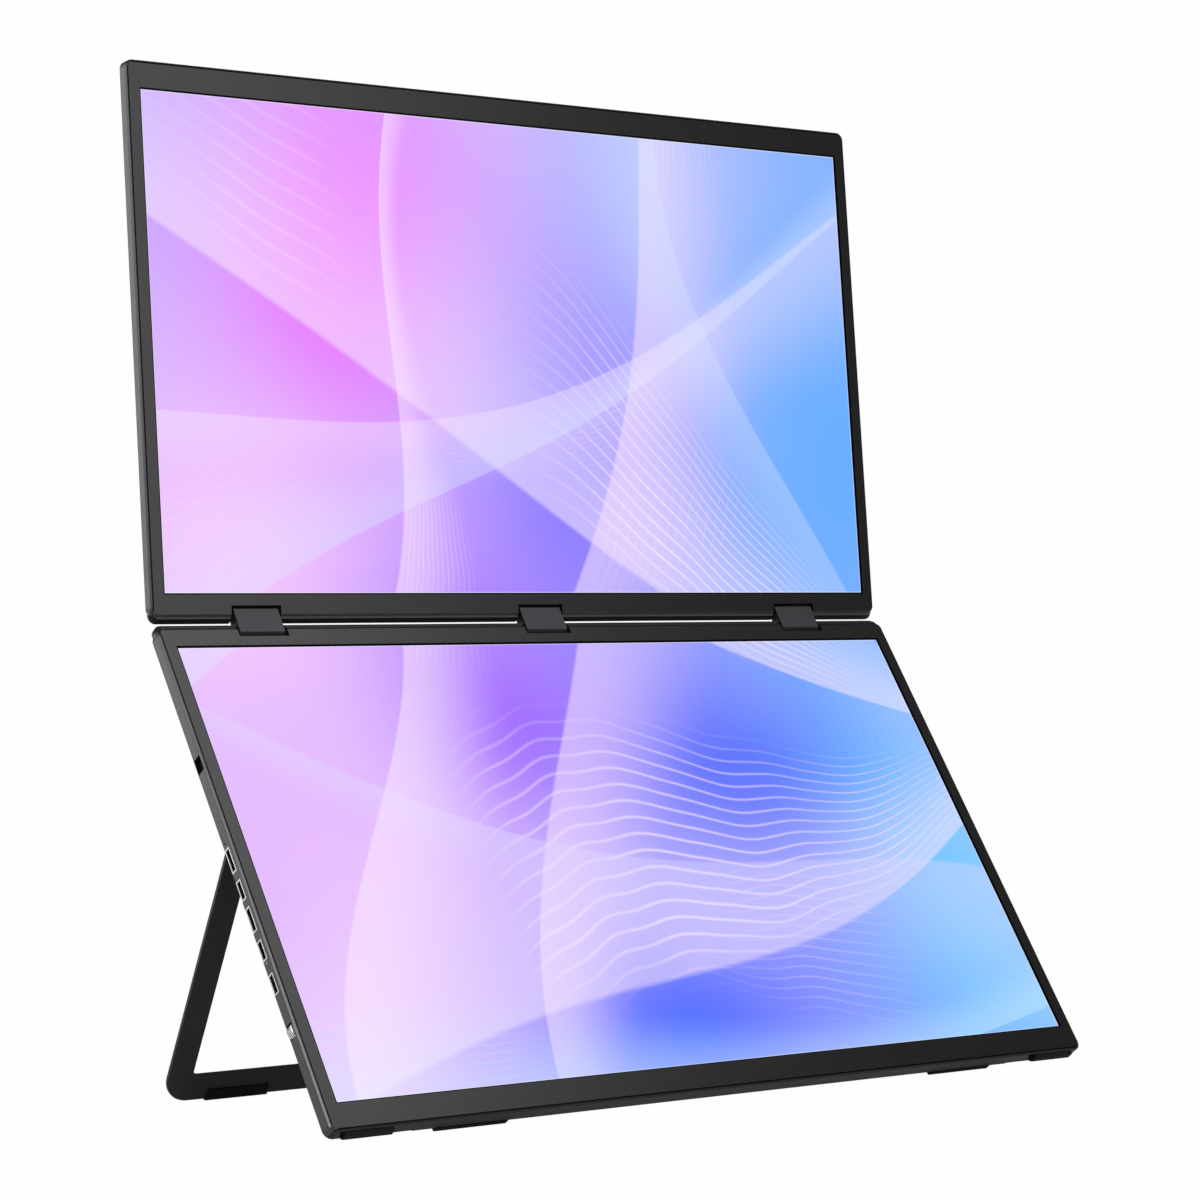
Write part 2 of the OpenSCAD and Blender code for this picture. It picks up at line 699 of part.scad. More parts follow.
// Main board behind the sockets, with its larger chips
module main_board() {
    color("darkgreen") on_lower() {
        difference() {
            union() {
                span([board_x0, board_y, board_z[0]], [board_x2, board_y + board_t, board_z[1]]);
                span([board_x0, board_y, board_z[1]], [board_x1, board_y + board_t, board_z[2]]);
            }
            for (at = board_screws_at) rod_y(screw_r + 0.1, board_y - eps, board_y + board_t + eps, at);
        }
        for (chip = [[74, 140, 14], [100, 165, 10], [26, 118, 8], [26, 165, 8], [108, 128, 9]])
            translate([board_x0 + chip[0], board_y - 0.5, chip[1]])
                cube([chip[2], 1, chip[2]], center = true);
    }
}

module board_screws() {
    color("silver") on_lower()
        for (at = board_screws_at) translate([at[0], 0, at[1]])
            mirror([0, 1, 0]) small_screw([0, 0], -board_y - board_t - 1.4, -board_y + head_t);
}

// Socket shell with an open front, a closed back and a contact tongue inside
module socket(z, size, opening, tongue) {
    x0 = -panel_w / 2;
    translate([x0, port_depth, z]) {
        difference() {
            union() {
                translate([0, -size[1] / 2, -size[0] / 2]) cube([port_l, size[1], size[0]]);
                translate([0, -size[1] / 2 - flange, -size[0] / 2 - flange])
                    cube([0.5, size[1] + 2 * flange, size[0] + 2 * flange]);
            }
            translate([-eps, -opening[1] / 2, -opening[0] / 2])
                cube([port_l - shell_t + eps, opening[1], opening[0]]);
        }
        translate([1, -tongue[1] / 2, -tongue[0] / 2]) cube([port_l - shell_t - 0.9, tongue[1], tongue[0]]);
        translate([port_l - 1, board_y - port_depth - 0.3, -size[0] / 2]) cube([3, 0.25, size[0]]);
    }
}

module mini_hdmi_sockets() {
    color("silver") on_lower()
        for (z = hdmi_z) socket(z, hdmi_size, [hdmi_size[0] - 2 * shell_t, hdmi_size[1] - 2 * shell_t], [8, 0.6]);
}

module usb_c_sockets() {
    color("silver") on_lower()
        for (z = usb_z) socket(z, usb_size, [usb_size[0] - 2 * shell_t, usb_size[1] - 2 * shell_t], [6.7, 0.7]);
}

// Flat speaker boxes on the back, above the stand's bar
module speakers() {
    color("#222222") on_lower() both_sides()
        span([speaker_x[0], stack_y + 0.25, speaker_z[0]],
            [speaker_x[1], lower_t + raised_t - back_t - 0.1, speaker_z[1]]);
}

// Flat cable from a board, behind the mid plate, round its edge to the LCD panel
module ribbon(x, z0, y0) {
    t = 0.25;
    y1 = stack_y + 0.1;
    z1 = lcd_z1 + 0.05;
    translate([x - 15, 0, 0]) rotate([90, 0, 90]) linear_extrude(30)
        polygon([[y0, z0], [y0, z0 - t], [y1, z0 - t], [y1, z1], [lcd_y + 0.2, z1],
            [lcd_y + 0.2, z1 + t], [y1 + t, z1 + t], [y1 + t, z0]]);
}

module lower_display_ribbon() {
    color("orange") on_lower() ribbon(board_x2 - ribbon_inset, board_z[1] - 6, board_y - 0.05);
}

// Rubber feet at the corners, with a slanted heel that clears the table
module front_feet() {
    color("#111111") on_lower() both_sides()
        translate([foot_x - foot_l / 2, 0, 0]) rotate([90, 0, 90]) linear_extrude(foot_l)
            polygon([[1.2, panel_h], [foot_toe - 0.6, panel_h + 0.6], [foot_toe, panel_h + foot_drop],
                [foot_mid, panel_h + foot_drop], [foot_back, panel_h + foot_heel], [foot_back, panel_h]]);
}

// Pads that wrap the strip behind the bottom edge, cut flat where they stand
module rest_pads() {
    color("#1a1a1a") above_table() on_lower() both_sides() difference() {
        translate([pad_x, 0, 0])
            slab(pad_l, strip_z + 0.6, panel_h + pad_over, lower_t + 0.1, pad_y, 0.85, 0, 0.3);
        bottom_strip(layer_gap);
    }
}

module left_lower_bracket() {
    color("slategray") on_lower() hinge_bracket(-hinge_x);
}

module middle_lower_bracket() {
    color("slategray") on_lower() hinge_bracket(0);
}

module right_lower_bracket() {
    color("slategray") on_lower() hinge_bracket(hinge_x);
}

module lower_bracket_screws() {
    color("silver") on_lower() bracket_screws(lower_t);
}

// Stand bracket: a base in the groove and two ears with bored ends
module stand_bracket() {
    difference() {
        union() {
            for (x = [ear_in, ear_out]) {
                rod_x(barrel_r, x, x + ear_l, [stand_depth, stand_z]);
                span([x, groove_y + 0.05, stand_z - barrel_r], [x + ear_l, stand_depth, stand_z + barrel_r]);
            }
            span([ear_in, groove_y + 0.05, stand_z - groove_h / 2 + 0.3],
                [ear_out + ear_l, groove_y + 0.05 + bracket_base_t, stand_z + groove_h / 2 - 0.3]);
        }
        rod_x(stand_pin_r + pin_fit, ear_in - eps, ear_out + ear_l + eps, [stand_depth, stand_z]);
    }
}

module left_stand_bracket() {
    color("slategray") on_lower() mirror([1, 0, 0]) stand_bracket();
}

module right_stand_bracket() {
    color("slategray") on_lower() stand_bracket();
}

// Switch on the main board behind the wheel's cradle
module wheel_switch() {
    x = tab_x + cheek_t + wheel_travel;
    color("#444444") on_lower() {
        span([x + 0.7, stack_y + 0.3, wheel_z - 2.2], [x + 3.7, board_y - 0.02, wheel_z + 2.2]);
        rod_x(0.7, x + 0.05, x + 0.8, [board_y - 1.1, wheel_z]);
    }
}

module status_light() {
    color("aliceblue") on_lower() rod_x(0.5, -panel_w / 2 + 0.1, board_x0 + 1, [port_depth, status_z]);
}

module lower_feed_cable() {
    y = stack_y + 0.3 + cable_r;
    x = -pin_l / 2 - 2.5;
    color("#303030") on_lower()
        cable([[-pin_l / 2 - 1, axis_depth, axis_inset], [x, y, leaf_z0 + 2],
            [x, y, 60], [board_x2 - 8, y, board_z[0] + 10],
            [board_x2 - 8, board_y - cable_r - layer_gap, board_z[0] + 14]]);
}

module left_hinge_link() {
    color("#3a3a3e") on_link() hinge_link(-hinge_x, false);
}

module middle_hinge_link() {
    color("#3a3a3e") on_link() hinge_link(0, true);
}

module right_hinge_link() {
    color("#3a3a3e") on_link() hinge_link(hinge_x, false);
}

module left_lower_pin() {
    color("silver") on_link() hinge_pin(-hinge_x, 0, false);
}

module middle_lower_pin() {
    color("silver") on_link() hinge_pin(0, 0, true);
}

module right_lower_pin() {
    color("silver") on_link() hinge_pin(hinge_x, 0, false);
}

module left_upper_pin() {
    color("silver") on_link() hinge_pin(-hinge_x, hinge_span, false);
}

module middle_upper_pin() {
    color("silver") on_link() hinge_pin(0, hinge_span, true);
}

module right_upper_pin() {
    color("silver") on_link() hinge_pin(hinge_x, hinge_span, false);
}

// Middle length of the feed cable: in through the lower pin, up the link, out through the upper pin
module link_cable() {
    color("#303030") on_link()
        cable([[-pin_l / 2, 0, 0], [0, 0, 0], [0, 0, hinge_span], [pin_l / 2, 0, hinge_span]]);
}

module upper_rear_cover() {
    color("dimgray") on_upper() tray(upper_t);
}

module upper_front_frame() {
    color("#26262a") on_upper() front_frame(upper_t);
}

module upper_lcd_panel() {
    color("#b59cf0") on_upper() lcd_panel();
}

module upper_light_guide() {
    color("whitesmoke") on_upper() light_guide();
}

module upper_led_strip() {
    color("lightyellow") on_upper() led_strip();
}

module upper_mid_plate() {
    color("silver") on_upper() mid_plate();
}

module upper_cover_screws() {
    color("#333333") on_upper() cover_screws(upper_t);
}

module driver_board() {
    color("darkgreen") on_upper() {
        span([driver_x[0], driver_y, driver_z[0]], [driver_x[1], driver_y + board_t, driver_z[1]]);
        for (chip = [[60, 56, 10], [96, 60, 7]])
            translate([chip[0], driver_y - 0.3, chip[1]]) cube([chip[2], 0.6, chip[2]], center = true);
    }
}

module upper_display_ribbon() {
    color("orange") on_upper() ribbon(driver_x[1] - ribbon_inset - 10, driver_z[1] - 6, driver_y - 0.05);
}

module left_upper_bracket() {
    color("slategray") on_upper() hinge_bracket(-hinge_x);
}

module middle_upper_bracket() {
    color("slategray") on_upper() hinge_bracket(0);
}

module right_upper_bracket() {
    color("slategray") on_upper() hinge_bracket(hinge_x);
}

module upper_bracket_screws() {
    color("silver") on_upper() bracket_screws(upper_t);
}

module upper_feed_cable() {
    y = stack_y + 0.1 + cable_r;
    x = pin_l / 2 + 2.5;
    color("#303030") on_upper()
        cable([[pin_l / 2 + 1, axis_depth, axis_inset], [x, y, leaf_z0 + 2],
            [x, y, driver_z[0] - 6], [driver_x[0] - cable_r, y, driver_z[0] + 4]]);
}

// U-shaped stand frame with a barrel at the top of each leg
module stand_frame() {
    half = stand_w / 2;
    y0 = pivot_offset - stand_t / 2;
    color("#2c2c2e") on_stand() difference() {
        union() {
            plate(y0, y0 + stand_t) difference() {
                round_outline(-half, -stand_len, half, stand_corner_r, stand_corner_r);
                translate([-half, 0]) square([stand_w, stand_corner_r + eps]);
                round_outline(-half + leg_w, -stand_len + bar_h, half - leg_w, stand_inner_r + 1, stand_inner_r);
            }
            both_sides() rod_x(barrel_r, half - leg_w, half);
        }
        both_sides() rod_x(stand_pin_r + 0.01, half - leg_w - eps, half + eps);
    }
}

module stand_pin() {
    rod_x(stand_pin_r, ear_in + 0.3, ear_out + ear_l - 0.3);
}

module left_stand_pin() {
    color("silver") on_stand() mirror([1, 0, 0]) stand_pin();
}

module right_stand_pin() {
    color("silver") on_stand() stand_pin();
}

// Rubber feet that grip the stand's bar, cut flat where they stand
module stand_feet() {
    y0 = pivot_offset - stand_t / 2;
    y1 = y0 + stand_t;
    color("#111111") above_table() on_stand() both_sides() difference() {
        translate([shoe_x, 0, 0]) slab(shoe_l, -shoe_reach, -stand_len + shoe_h, y0 - shoe_proud,
            y1 + shoe_proud, 1.2, 0.3, 0.3);
        span([shoe_x - shoe_l, y0 - 0.01, -stand_len - 0.01], [shoe_x + shoe_l, y1 + 0.01, 0]);
    }
}

// Sheet metal cradle around the wheel, with its axle and a tab that pushes the switch
module wheel_cradle() {
    front = wheel_y - cradle_t / 2;
    back = wheel_y + cradle_t / 2;
    x0 = wheel_x - 0.9;
    x1 = wheel_x + wheel_r - 0.8;
    color("silver") on_lower() {
        for (y = [front, back - cheek_t])
            span([x0, y, wheel_z - cradle_h - cheek_t], [x1, y + cheek_t, wheel_z + cradle_h + cheek_t]);
        for (side = [-1, 1]) translate([0, 0, wheel_z + side * (cradle_h + cheek_t / 2)])
            span([x0, front, -cheek_t / 2], [x1, back, cheek_t / 2]);
        span([x1 - eps, back - cheek_t, wheel_z - 1.2], [tab_x + cheek_t, back, wheel_z + 1.2]);
        span([tab_x, board_y - 1.6, wheel_z - 1.2], [tab_x + cheek_t, back, wheel_z + 1.2]);
        rod_y(axle_r, front + cheek_t / 2, back - cheek_t / 2, [wheel_x, wheel_z]);
    }
}

// Control wheel with grooves around its rim
module control_wheel() {
    color("gainsboro") on_lower() difference() {
        rod_y(wheel_r, wheel_y - wheel_w / 2, wheel_y + wheel_w / 2, [wheel_x, wheel_z]);
        rod_y(axle_r + 0.05, 0, lower_t, [wheel_x, wheel_z]);
        for (i = [0 : wheel_grooves - 1]) translate([wheel_x, wheel_y, wheel_z])
            rotate([0, (i + 0.5) * 360 / wheel_grooves, 0]) translate([wheel_r, 0, 0])
                cube([0.4, wheel_w + 1, 0.3], center = true);
    }
}

lower_rear_cover();
lower_front_frame();
lower_lcd_panel();
lower_light_guide();
lower_led_strip();
lower_mid_plate();
lower_cover_screws();
main_board();
board_screws();
mini_hdmi_sockets();
usb_c_sockets();
speakers();
lower_display_ribbon();
front_feet();
rest_pads();
left_lower_bracket();
middle_lower_bracket();
right_lower_bracket();
lower_bracket_screws();
left_stand_bracket();
right_stand_bracket();
wheel_switch();
status_light();
lower_feed_cable();
left_hinge_link();
middle_hinge_link();
right_hinge_link();
left_lower_pin();
middle_lower_pin();
right_lower_pin();
left_upper_pin();
middle_upper_pin();
right_upper_pin();
link_cable();
upper_rear_cover();
upper_front_frame();
upper_lcd_panel();
upper_light_guide();
upper_led_strip();
upper_mid_plate();
upper_cover_screws();
driver_board();
upper_display_ribbon();
left_upper_bracket();
middle_upper_bracket();
right_upper_bracket();
upper_bracket_screws();
upper_feed_cable();
stand_frame();
left_stand_pin();
right_stand_pin();
stand_feet();
wheel_cradle();
control_wheel();
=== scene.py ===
# %% [markdown]
# # Dressing a portable monitor with two screens
# The solid parts of this monitor are finished before this lesson starts, and they come in as a fixed frame:
# two slim displays, three double hinges between them and a folding stand. Nothing here moves or reshapes
# them. What is missing is how they look, so each cell below takes one piece or one finish, says what it is
# on the real object, and makes it with nodes and a little mesh code. The frame gives every part in metres.
# The sizes of the monitor below are in millimetres, and one factor turns them into metres. The camera, the
# floor and the lamps are placed in metres.

# %% Load the frame
import json
import math

import bmesh
import bpy
from mathutils import Matrix, Vector

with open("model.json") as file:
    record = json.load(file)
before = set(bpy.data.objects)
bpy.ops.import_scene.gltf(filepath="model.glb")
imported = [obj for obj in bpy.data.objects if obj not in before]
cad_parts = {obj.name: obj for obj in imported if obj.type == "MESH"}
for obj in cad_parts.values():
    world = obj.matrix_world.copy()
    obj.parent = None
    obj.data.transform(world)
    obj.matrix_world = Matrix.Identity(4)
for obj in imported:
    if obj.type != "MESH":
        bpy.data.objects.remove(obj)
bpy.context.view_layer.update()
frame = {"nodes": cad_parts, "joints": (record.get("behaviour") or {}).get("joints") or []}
parts = frame["nodes"]
joints = {joint["name"]: joint for joint in frame["joints"]}
MM = 0.001
print("parts in the frame:", len(parts))

# %% [markdown]
# ## Where the displays are
# Both displays lean, so the picture on a screen or the bright edge of a cover is awkward to describe in the
# upright axes of the frame. Each display therefore gets its own ruler: across it, back from its front face,
# and away from its hinge edge. The hinge links get one too, from their lower pins upwards. The hinge pins
# give the starting points, and the leans are the angles of the pose shown.

# %% Rulers for the displays and the hinge links
LOWER_LEAN, LINK_LEAN, UPPER_LEAN = 33.2, 30.5, 2.7
PIN_DEPTH, PIN_INSET = 3.1, 1.5
ACTIVE_W, ACTIVE_H = 408.96, 230.04
PANEL_W, PANEL_H, HINGE_BEZEL = 423.96, 254.24, 10.8


class Ruler:
    """A flat piece's own axes: across, back from its front face, and along it."""

    def __init__(self, joint, back, along, depth=0.0, inset=0.0):
        self.back, self.along = Vector(back), Vector(along)
        pin = Vector(joints[joint]["pos_m"])
        self.start = pin - (self.back * depth + self.along * inset) * MM


def tilt(degrees):
    """Backward direction and upward direction of a piece that leans back by so much."""
    lean = math.radians(degrees)
    return (0, math.cos(lean), -math.sin(lean)), Vector((0, math.sin(lean), math.cos(lean)))


lower_back, lower_up = tilt(LOWER_LEAN)
upper_back, upper_up = tilt(UPPER_LEAN)
link_back, link_up = tilt(LINK_LEAN)
lower = Ruler("link_tilt", lower_back, -lower_up, PIN_DEPTH, PIN_INSET)
upper = Ruler("upper_tilt", upper_back, upper_up, PIN_DEPTH, PIN_INSET)
links = Ruler("link_tilt", link_back, link_up)
print("lower display starts at", tuple(round(v, 4) for v in lower.start))

# %% [markdown]
# ## The camera
# The picture to match was taken from the front left, a little below the hinges, with a long lens. A long
# lens keeps the far edge of a screen nearly as tall as the near one. The turn, the rise and the slight roll
# are set one after the other, which is easier to read than three mixed angles.

# %% Camera at the viewing angle
CAMERA_PLACE = (-0.92026, -1.27499, 0.16718)
CAMERA_TURN, CAMERA_RISE, CAMERA_ROLL = 35.9279, 2.2229, -1.7610
CAMERA_LENS = 99.65

camera = bpy.data.objects.new("camera", bpy.data.cameras.new("camera"))
bpy.context.scene.collection.objects.link(camera)
camera.data.lens = CAMERA_LENS
turns = [(-CAMERA_TURN, "Z"), (90 + CAMERA_RISE, "X"), (CAMERA_ROLL, "Z")]
camera.matrix_world = Matrix.Translation(CAMERA_PLACE)
for angle, axis in turns:
    camera.matrix_world = camera.matrix_world @ Matrix.Rotation(math.radians(angle), 4, axis)
bpy.context.scene.camera = camera
print("camera at", CAMERA_PLACE)

# %% [markdown]
# ## Arithmetic with shader sockets
# A finish is a small calculation: take the place on the surface, work out a mask, mix two colours. Drawing
# that as a node graph by hand hides the idea, so a socket is wrapped in a class that understands plus,
# minus, times and divide. Every other node comes from one method, which sets the node's own options first
# and its sockets after.

# %% A socket that does arithmetic
class Wire:
    """One output of a shader node. Sums and products of wires add the nodes that work them out."""

    def __init__(self, tree, socket=None):
        self.tree, self.socket = tree, socket

    def node(self, kind, settings=None, inputs=None, out=0):
        made = self.tree.nodes.new(kind)
        for name, value in (settings or {}).items():
            setattr(made, name, value)
        for name, value in (inputs or {}).items():
            if isinstance(value, Wire):
                self.tree.links.new(value.socket, made.inputs[name])
            else:
                made.inputs[name].default_value = value
        return Wire(self.tree, made.outputs[out])

    def maths(self, operation, *values):
        """A Math node on these values in this order, or on the wire itself if none are given."""
        return self.node("ShaderNodeMath", {"operation": operation}, dict(enumerate(values or (self,))))

    def __add__(self, other):
        return self.maths("ADD", self, other)

    def __sub__(self, other):
        return self.maths("SUBTRACT", self, other)

    def __mul__(self, other):
        return self.maths("MULTIPLY", self, other)

    def __truediv__(self, other):
        return self.maths("DIVIDE", self, other)

    def __radd__(self, other):
        return self.maths("ADD", other, self)

    def __rsub__(self, other):
        return self.maths("SUBTRACT", other, self)

    def __rmul__(self, other):
        return self.maths("MULTIPLY", other, self)

    def __neg__(self):
        return self.maths("MULTIPLY", self, -1.0)

    def size(self):
        return self.maths("ABSOLUTE", self)

    def step(self, low, high):
        """0 below low, 1 above high, and a smooth rise between them."""
        limits = {"Value": self, "From Min": low, "From Max": high}
        return self.node("ShaderNodeMapRange", {"interpolation_type": "SMOOTHSTEP"}, limits)

    def inside(self, low, high, soft=0.05):
        """1 between low and high, with soft ends."""
        return self.step(low - soft, low + soft) * (1 - self.step(high - soft, high + soft))


def colour(text):
    """A written colour such as #20a0ff as the linear numbers that a shader takes."""
    written = [int(text[i:i + 2], 16) / 255 for i in (1, 3, 5)]
    linear = [v / 12.92 if v <= 0.04045 else ((v + 0.055) / 1.055) ** 2.4 for v in written]
    return (*linear, 1.0)


def mix(factor, first, second):
    """Blends two colours, given as wires or as colour values."""
    wire = next(v for v in (factor, first, second) if isinstance(v, Wire))
    return wire.node("ShaderNodeMix", {"data_type": "RGBA"}, {0: factor, 6: first, 7: second}, out=2)


print("socket helper ready")

# %% [markdown]
# ## Places on a surface
# A mask needs to know where it is on the piece. The object coordinates of a part are its place in the frame
# at rest, and they travel with the part when a hinge turns, so a pattern made from them never slides. The
# distance along an axis of a ruler is a dot product.

# %% Coordinates and grain
def place_on(wire):
    return wire.node("ShaderNodeTexCoord", out="Object")


def along_axis(place, start, axis):
    """Millimetres from a start point, measured along an axis."""
    shifted = place.node("ShaderNodeVectorMath", {"operation": "SUBTRACT"}, {0: place, 1: start})
    return place.node("ShaderNodeVectorMath", {"operation": "DOT_PRODUCT"}, {0: shifted, 1: axis}, out=1) / MM


def measured(place, ruler):
    """The three ruler distances of a surface point: across, back and along."""
    return [along_axis(place, ruler.start, axis) for axis in (Vector((1, 0, 0)), ruler.back, ruler.along)]


def grain(place, scale, detail=2.0, stretch=(1.0, 1.0, 1.0)):
    """Noise from 0 to 1, stretched along chosen axes."""
    scaled = place.node("ShaderNodeVectorMath", {"operation": "MULTIPLY"}, {0: place, 1: stretch})
    return place.node("ShaderNodeTexNoise", None, {"Vector": scaled, "Scale": scale, "Detail": detail})


def bumped(height, strength, distance_mm):
    inputs = {"Height": height, "Strength": strength, "Distance": distance_mm * MM}
    return height.node("ShaderNodeBump", None, inputs)


def new_finish(name, **fixed):
    """A material, its shader and a first wire. Values that are the same all over go onto the shader."""
    material = bpy.data.materials.new(name)
    material.use_nodes = True
    shader = material.node_tree.nodes["Principled BSDF"]
    for socket, value in fixed.items():
        shader.inputs[socket.replace("_", " ")].default_value = value
    return material, shader, Wire(material.node_tree)


def feed(shader, **wires):
    for socket, wire in wires.items():
        wire.tree.links.new(wire.socket, shader.inputs[socket.replace("_", " ")])


print("surface helpers ready")

# %% [markdown]
# ## The picture on the screens
# Both screens are lit and show one large soft picture: lavender and pink on the left, violet in the middle,
# blue on the right. It is made of light only, so it goes into the shader's emission, and the surface under
# it is black glass. An image could hold it, but a formula needs no file and stays sharp at any size. Wide
# pools of colour come first: each is a smooth hill that fades one colour into the next.

# %% Pools of colour
LILAC, SKY = colour("#d6b6ff"), colour("#82b2ff")
WIDE = ACTIVE_W / ACTIVE_H
# Each pool: its place in screen heights, how far it reaches, and its colour
POOLS = [
    ((0.02, 1.02), (0.36, 0.40), colour("#b9a0fc")),
    ((0.44, 0.70), (0.30, 0.46), colour("#e864ff")),
    ((0.14, 0.06), (0.32, 0.30), colour("#f6c6ff")),
    ((1.00, 0.24), (0.32, 0.46), colour("#8a7cff")),
    ((1.30, 0.96), (0.26, 0.30), colour("#b3c0ff")),
    ((1.74, 0.30), (0.26, 0.40), colour("#66adff")),
    ((0.70, -0.26), (0.28, 0.34), colour("#a566ff")),
    ((0.16, -0.62), (0.34, 0.52), colour("#e4b8ff")),
    ((1.22, -0.50), (0.40, 0.40), colour("#3f5dfa")),
    ((0.84, -0.98), (0.40, 0.30), colour("#4f6cff")),
    ((1.70, -0.74), (0.28, 0.40), colour("#62c4ff")),
]


def pool(x, y, centre, reach):
    """Smooth hill, 1 at the centre."""
    dx, dy = (x - centre[0]) / reach[0], (y - centre[1]) / reach[1]
    return (-(dx * dx + dy * dy)).maths("EXPONENT")


print("picture has", len(POOLS), "pools")

# %% [markdown]
# Ribbons are laid over the pools. A ribbon follows a wavy line, is bright along one edge and fades towards
# the other, and carries fine threads. They could be bent strips of mesh, but a mask from two coordinates
# draws them on the glass itself: the distance from the wavy line is divided by the ribbon's width, so the
# threads draw together where it is narrow.

# %% Ribbons with threads
# Each ribbon: whether it runs across or down; its level, slope, swing, turns and shift; its width and how
# much that changes, negative where it fades the other way; its strength; and its colour
RIBBONS = [
    ("across", (1.02, -0.60, 0.10, 2.6, 0.4), (0.22, 0.70), 0.50, colour("#fff0ff")),
    ("across", (0.20, 0.26, 0.12, 2.2, 2.4), (-0.16, 0.60), 0.42, colour("#f6e6ff")),
    ("across", (-0.06, 0.54, 0.10, 3.0, 1.2), (0.11, 0.70), 0.40, colour("#d8e6ff")),
    ("down", (1.06, 0.30, 0.16, 2.4, 0.9), (0.12, 0.75), 0.50, colour("#ffe9ff")),
    ("down", (1.50, -0.26, 0.12, 2.8, 2.2), (-0.20, 0.50), 0.30, colour("#dbe9ff")),
    ("across", (-0.86, 0.30, 0.12, 2.8, 0.2), (0.20, 0.70), 0.52, colour("#f8e8ff")),
    ("across", (-0.26, -0.40, 0.12, 2.4, 2.9), (-0.14, 0.65), 0.44, colour("#dcd4ff")),
    ("across", (-1.16, 0.20, 0.14, 2.0, 1.6), (0.15, 0.60), 0.50, colour("#c4eeff")),
    ("down", (0.52, 0.20, 0.12, 3.2, 1.8), (0.10, 0.75), 0.50, colour("#ffeeff")),
]
THREADS_PER_SIDE, THREAD_HALF, THREAD_WAVER = 8.0, 0.08, 9
BRIGHT_EDGE = -0.95


def slow_noise(x, y):
    """Noise from 0 to 1 over two coordinates."""
    place = x.node("ShaderNodeCombineXYZ", None, {0: x, 1: y})
    return place.node("ShaderNodeTexNoise", None, {"Vector": place, "Scale": 1.0})


def ribbon(run, off, line, width):
    """Strength of one ribbon that runs along one coordinate and swings in the other."""
    level, slope, swing, turns, shift = line
    middle = level + slope * run + swing * (run * turns + shift).maths("SINE")
    spread = abs(width[0]) * (1 + width[1] * (run * (0.7 * turns) + 1.7 * shift).maths("SINE"))
    place = (off - middle) / spread if width[0] > 0 else (middle - off) / spread
    body = place.step(-1.0, BRIGHT_EDGE) * (1 - place.step(BRIGHT_EDGE, 1.0))
    threads = place * THREADS_PER_SIDE + slow_noise(run * 1.6, level * 7) * THREAD_WAVER
    thread = 1 - (threads.maths("FRACT") - 0.5).size().step(0.0, 2 * THREAD_HALF)
    here = (1 - place.size().step(0.55, 1.15)) * slow_noise(run * 1.1, level * 3).step(0.46, 0.72)
    return body * 0.8 + thread * here * 0.9


def picture(x, y):
    painted = mix((x / WIDE).step(0.40, 0.92), LILAC, SKY)
    for centre, reach, tint in POOLS:
        painted = mix(pool(x, y, centre, reach), painted, tint)
    for run, line, width, strength, tint in RIBBONS:
        shape = ribbon(x, y, line, width) if run == "across" else ribbon(y, x, line, width)
        painted = mix(shape * strength, painted, tint)
    return painted


print("picture has", len(RIBBONS), "ribbons")

# %% [markdown]
# The panel that shows the picture is one slab with a lit area in its front face. Everything outside that
# area is black glass, and the rest of the slab is the grey of its edges. The lit area gets a painted
# highlight: a pale border, less than half a millimetre wide, mixed into the light along its edge. Two
# materials would need a cut in the mesh along the edge of the lit area, and a mask from the ruler does
# without.

# %% Screens
SCREEN_GAP, EDGE_HIGHLIGHT, HIGHLIGHT_SHARE, FACE_DEPTH = 0.05, 0.45, 0.4, 0.9
BLACK, WHITE = colour("#000000"), colour("#ffffff")


def past_screen(across, along):
    """Millimetres beyond the edge of the lit area, negative on it."""
    sideways = across.size() - ACTIVE_W / 2
    return sideways.maths("MAXIMUM", sideways, (along - HINGE_BEZEL - ACTIVE_H / 2).size() - ACTIVE_H / 2)


def past_panel(across, along):
    """Millimetres beyond the outline of a display, negative on it."""
    sideways = across.size() - PANEL_W / 2
    return sideways.maths("MAXIMUM", sideways, (along - PANEL_H / 2).size() - PANEL_H / 2)


def screen_finish(name, ruler, up):
    """Lit panel: up is 1 where the rows count upwards from the hinge, and -1 where they count downwards."""
    material, shader, wire = new_finish(name, Roughness=0.42, Emission_Strength=1.0, Specular_IOR_Level=0.3)
    across, back, along = measured(place_on(wire), ruler)
    height = along - HINGE_BEZEL
    x = (across + ACTIVE_W / 2) / ACTIVE_H
    y = height / ACTIVE_H if up > 0 else -SCREEN_GAP - height / ACTIVE_H
    lit = across.inside(-ACTIVE_W / 2, ACTIVE_W / 2, 0.02) * height.inside(0.0, ACTIVE_H, 0.02)
    front = 1 - back.step(FACE_DEPTH, FACE_DEPTH + 0.1)
    base = mix(front, colour("#8f8f92"), colour("#020203"))
    # Painted highlight: a pale border mixed into the picture along the edge of the lit area
    painted_highlight = past_screen(across, along).step(-EDGE_HIGHLIGHT, -EDGE_HIGHLIGHT + 0.1)
    shown = mix(painted_highlight * HIGHLIGHT_SHARE, picture(x, y), WHITE)
    feed(shader, Base_Color=base, Emission_Color=mix(lit * front, BLACK, shown))
    return material


def dress(material, *names):
    for name in names:
        for slot in parts[name].material_slots:
            slot.material = material


dress(screen_finish("upper screen", upper, 1), "upper_lcd_panel")
dress(screen_finish("lower screen", lower, -1), "lower_lcd_panel")
print("screens lit")

# %% [markdown]
# ## Front frames
# The border around each screen is moulded black plastic with a fine spark-eroded grain. It looks satin: a
# soft light shows in it as a wide pale haze and never as a sharp shape. So the base colour stays nearly
# black, the roughness does the work, and two sizes of noise break it up, one for the grain and one for the
# slow waves of a moulding. Its outer edge and the edge of its window are rounded away into dark seams, and
# each gets a fine line of painted shade there: a black metal, which reflects nothing. Only at the hinges of
# the upper frame there is no such line.

# %% Front frame plastic
OUTER_SHADE_LINE, WINDOW_SHADE_LINE, HINGE_STRIP = -1.45, 0.75, 1.5


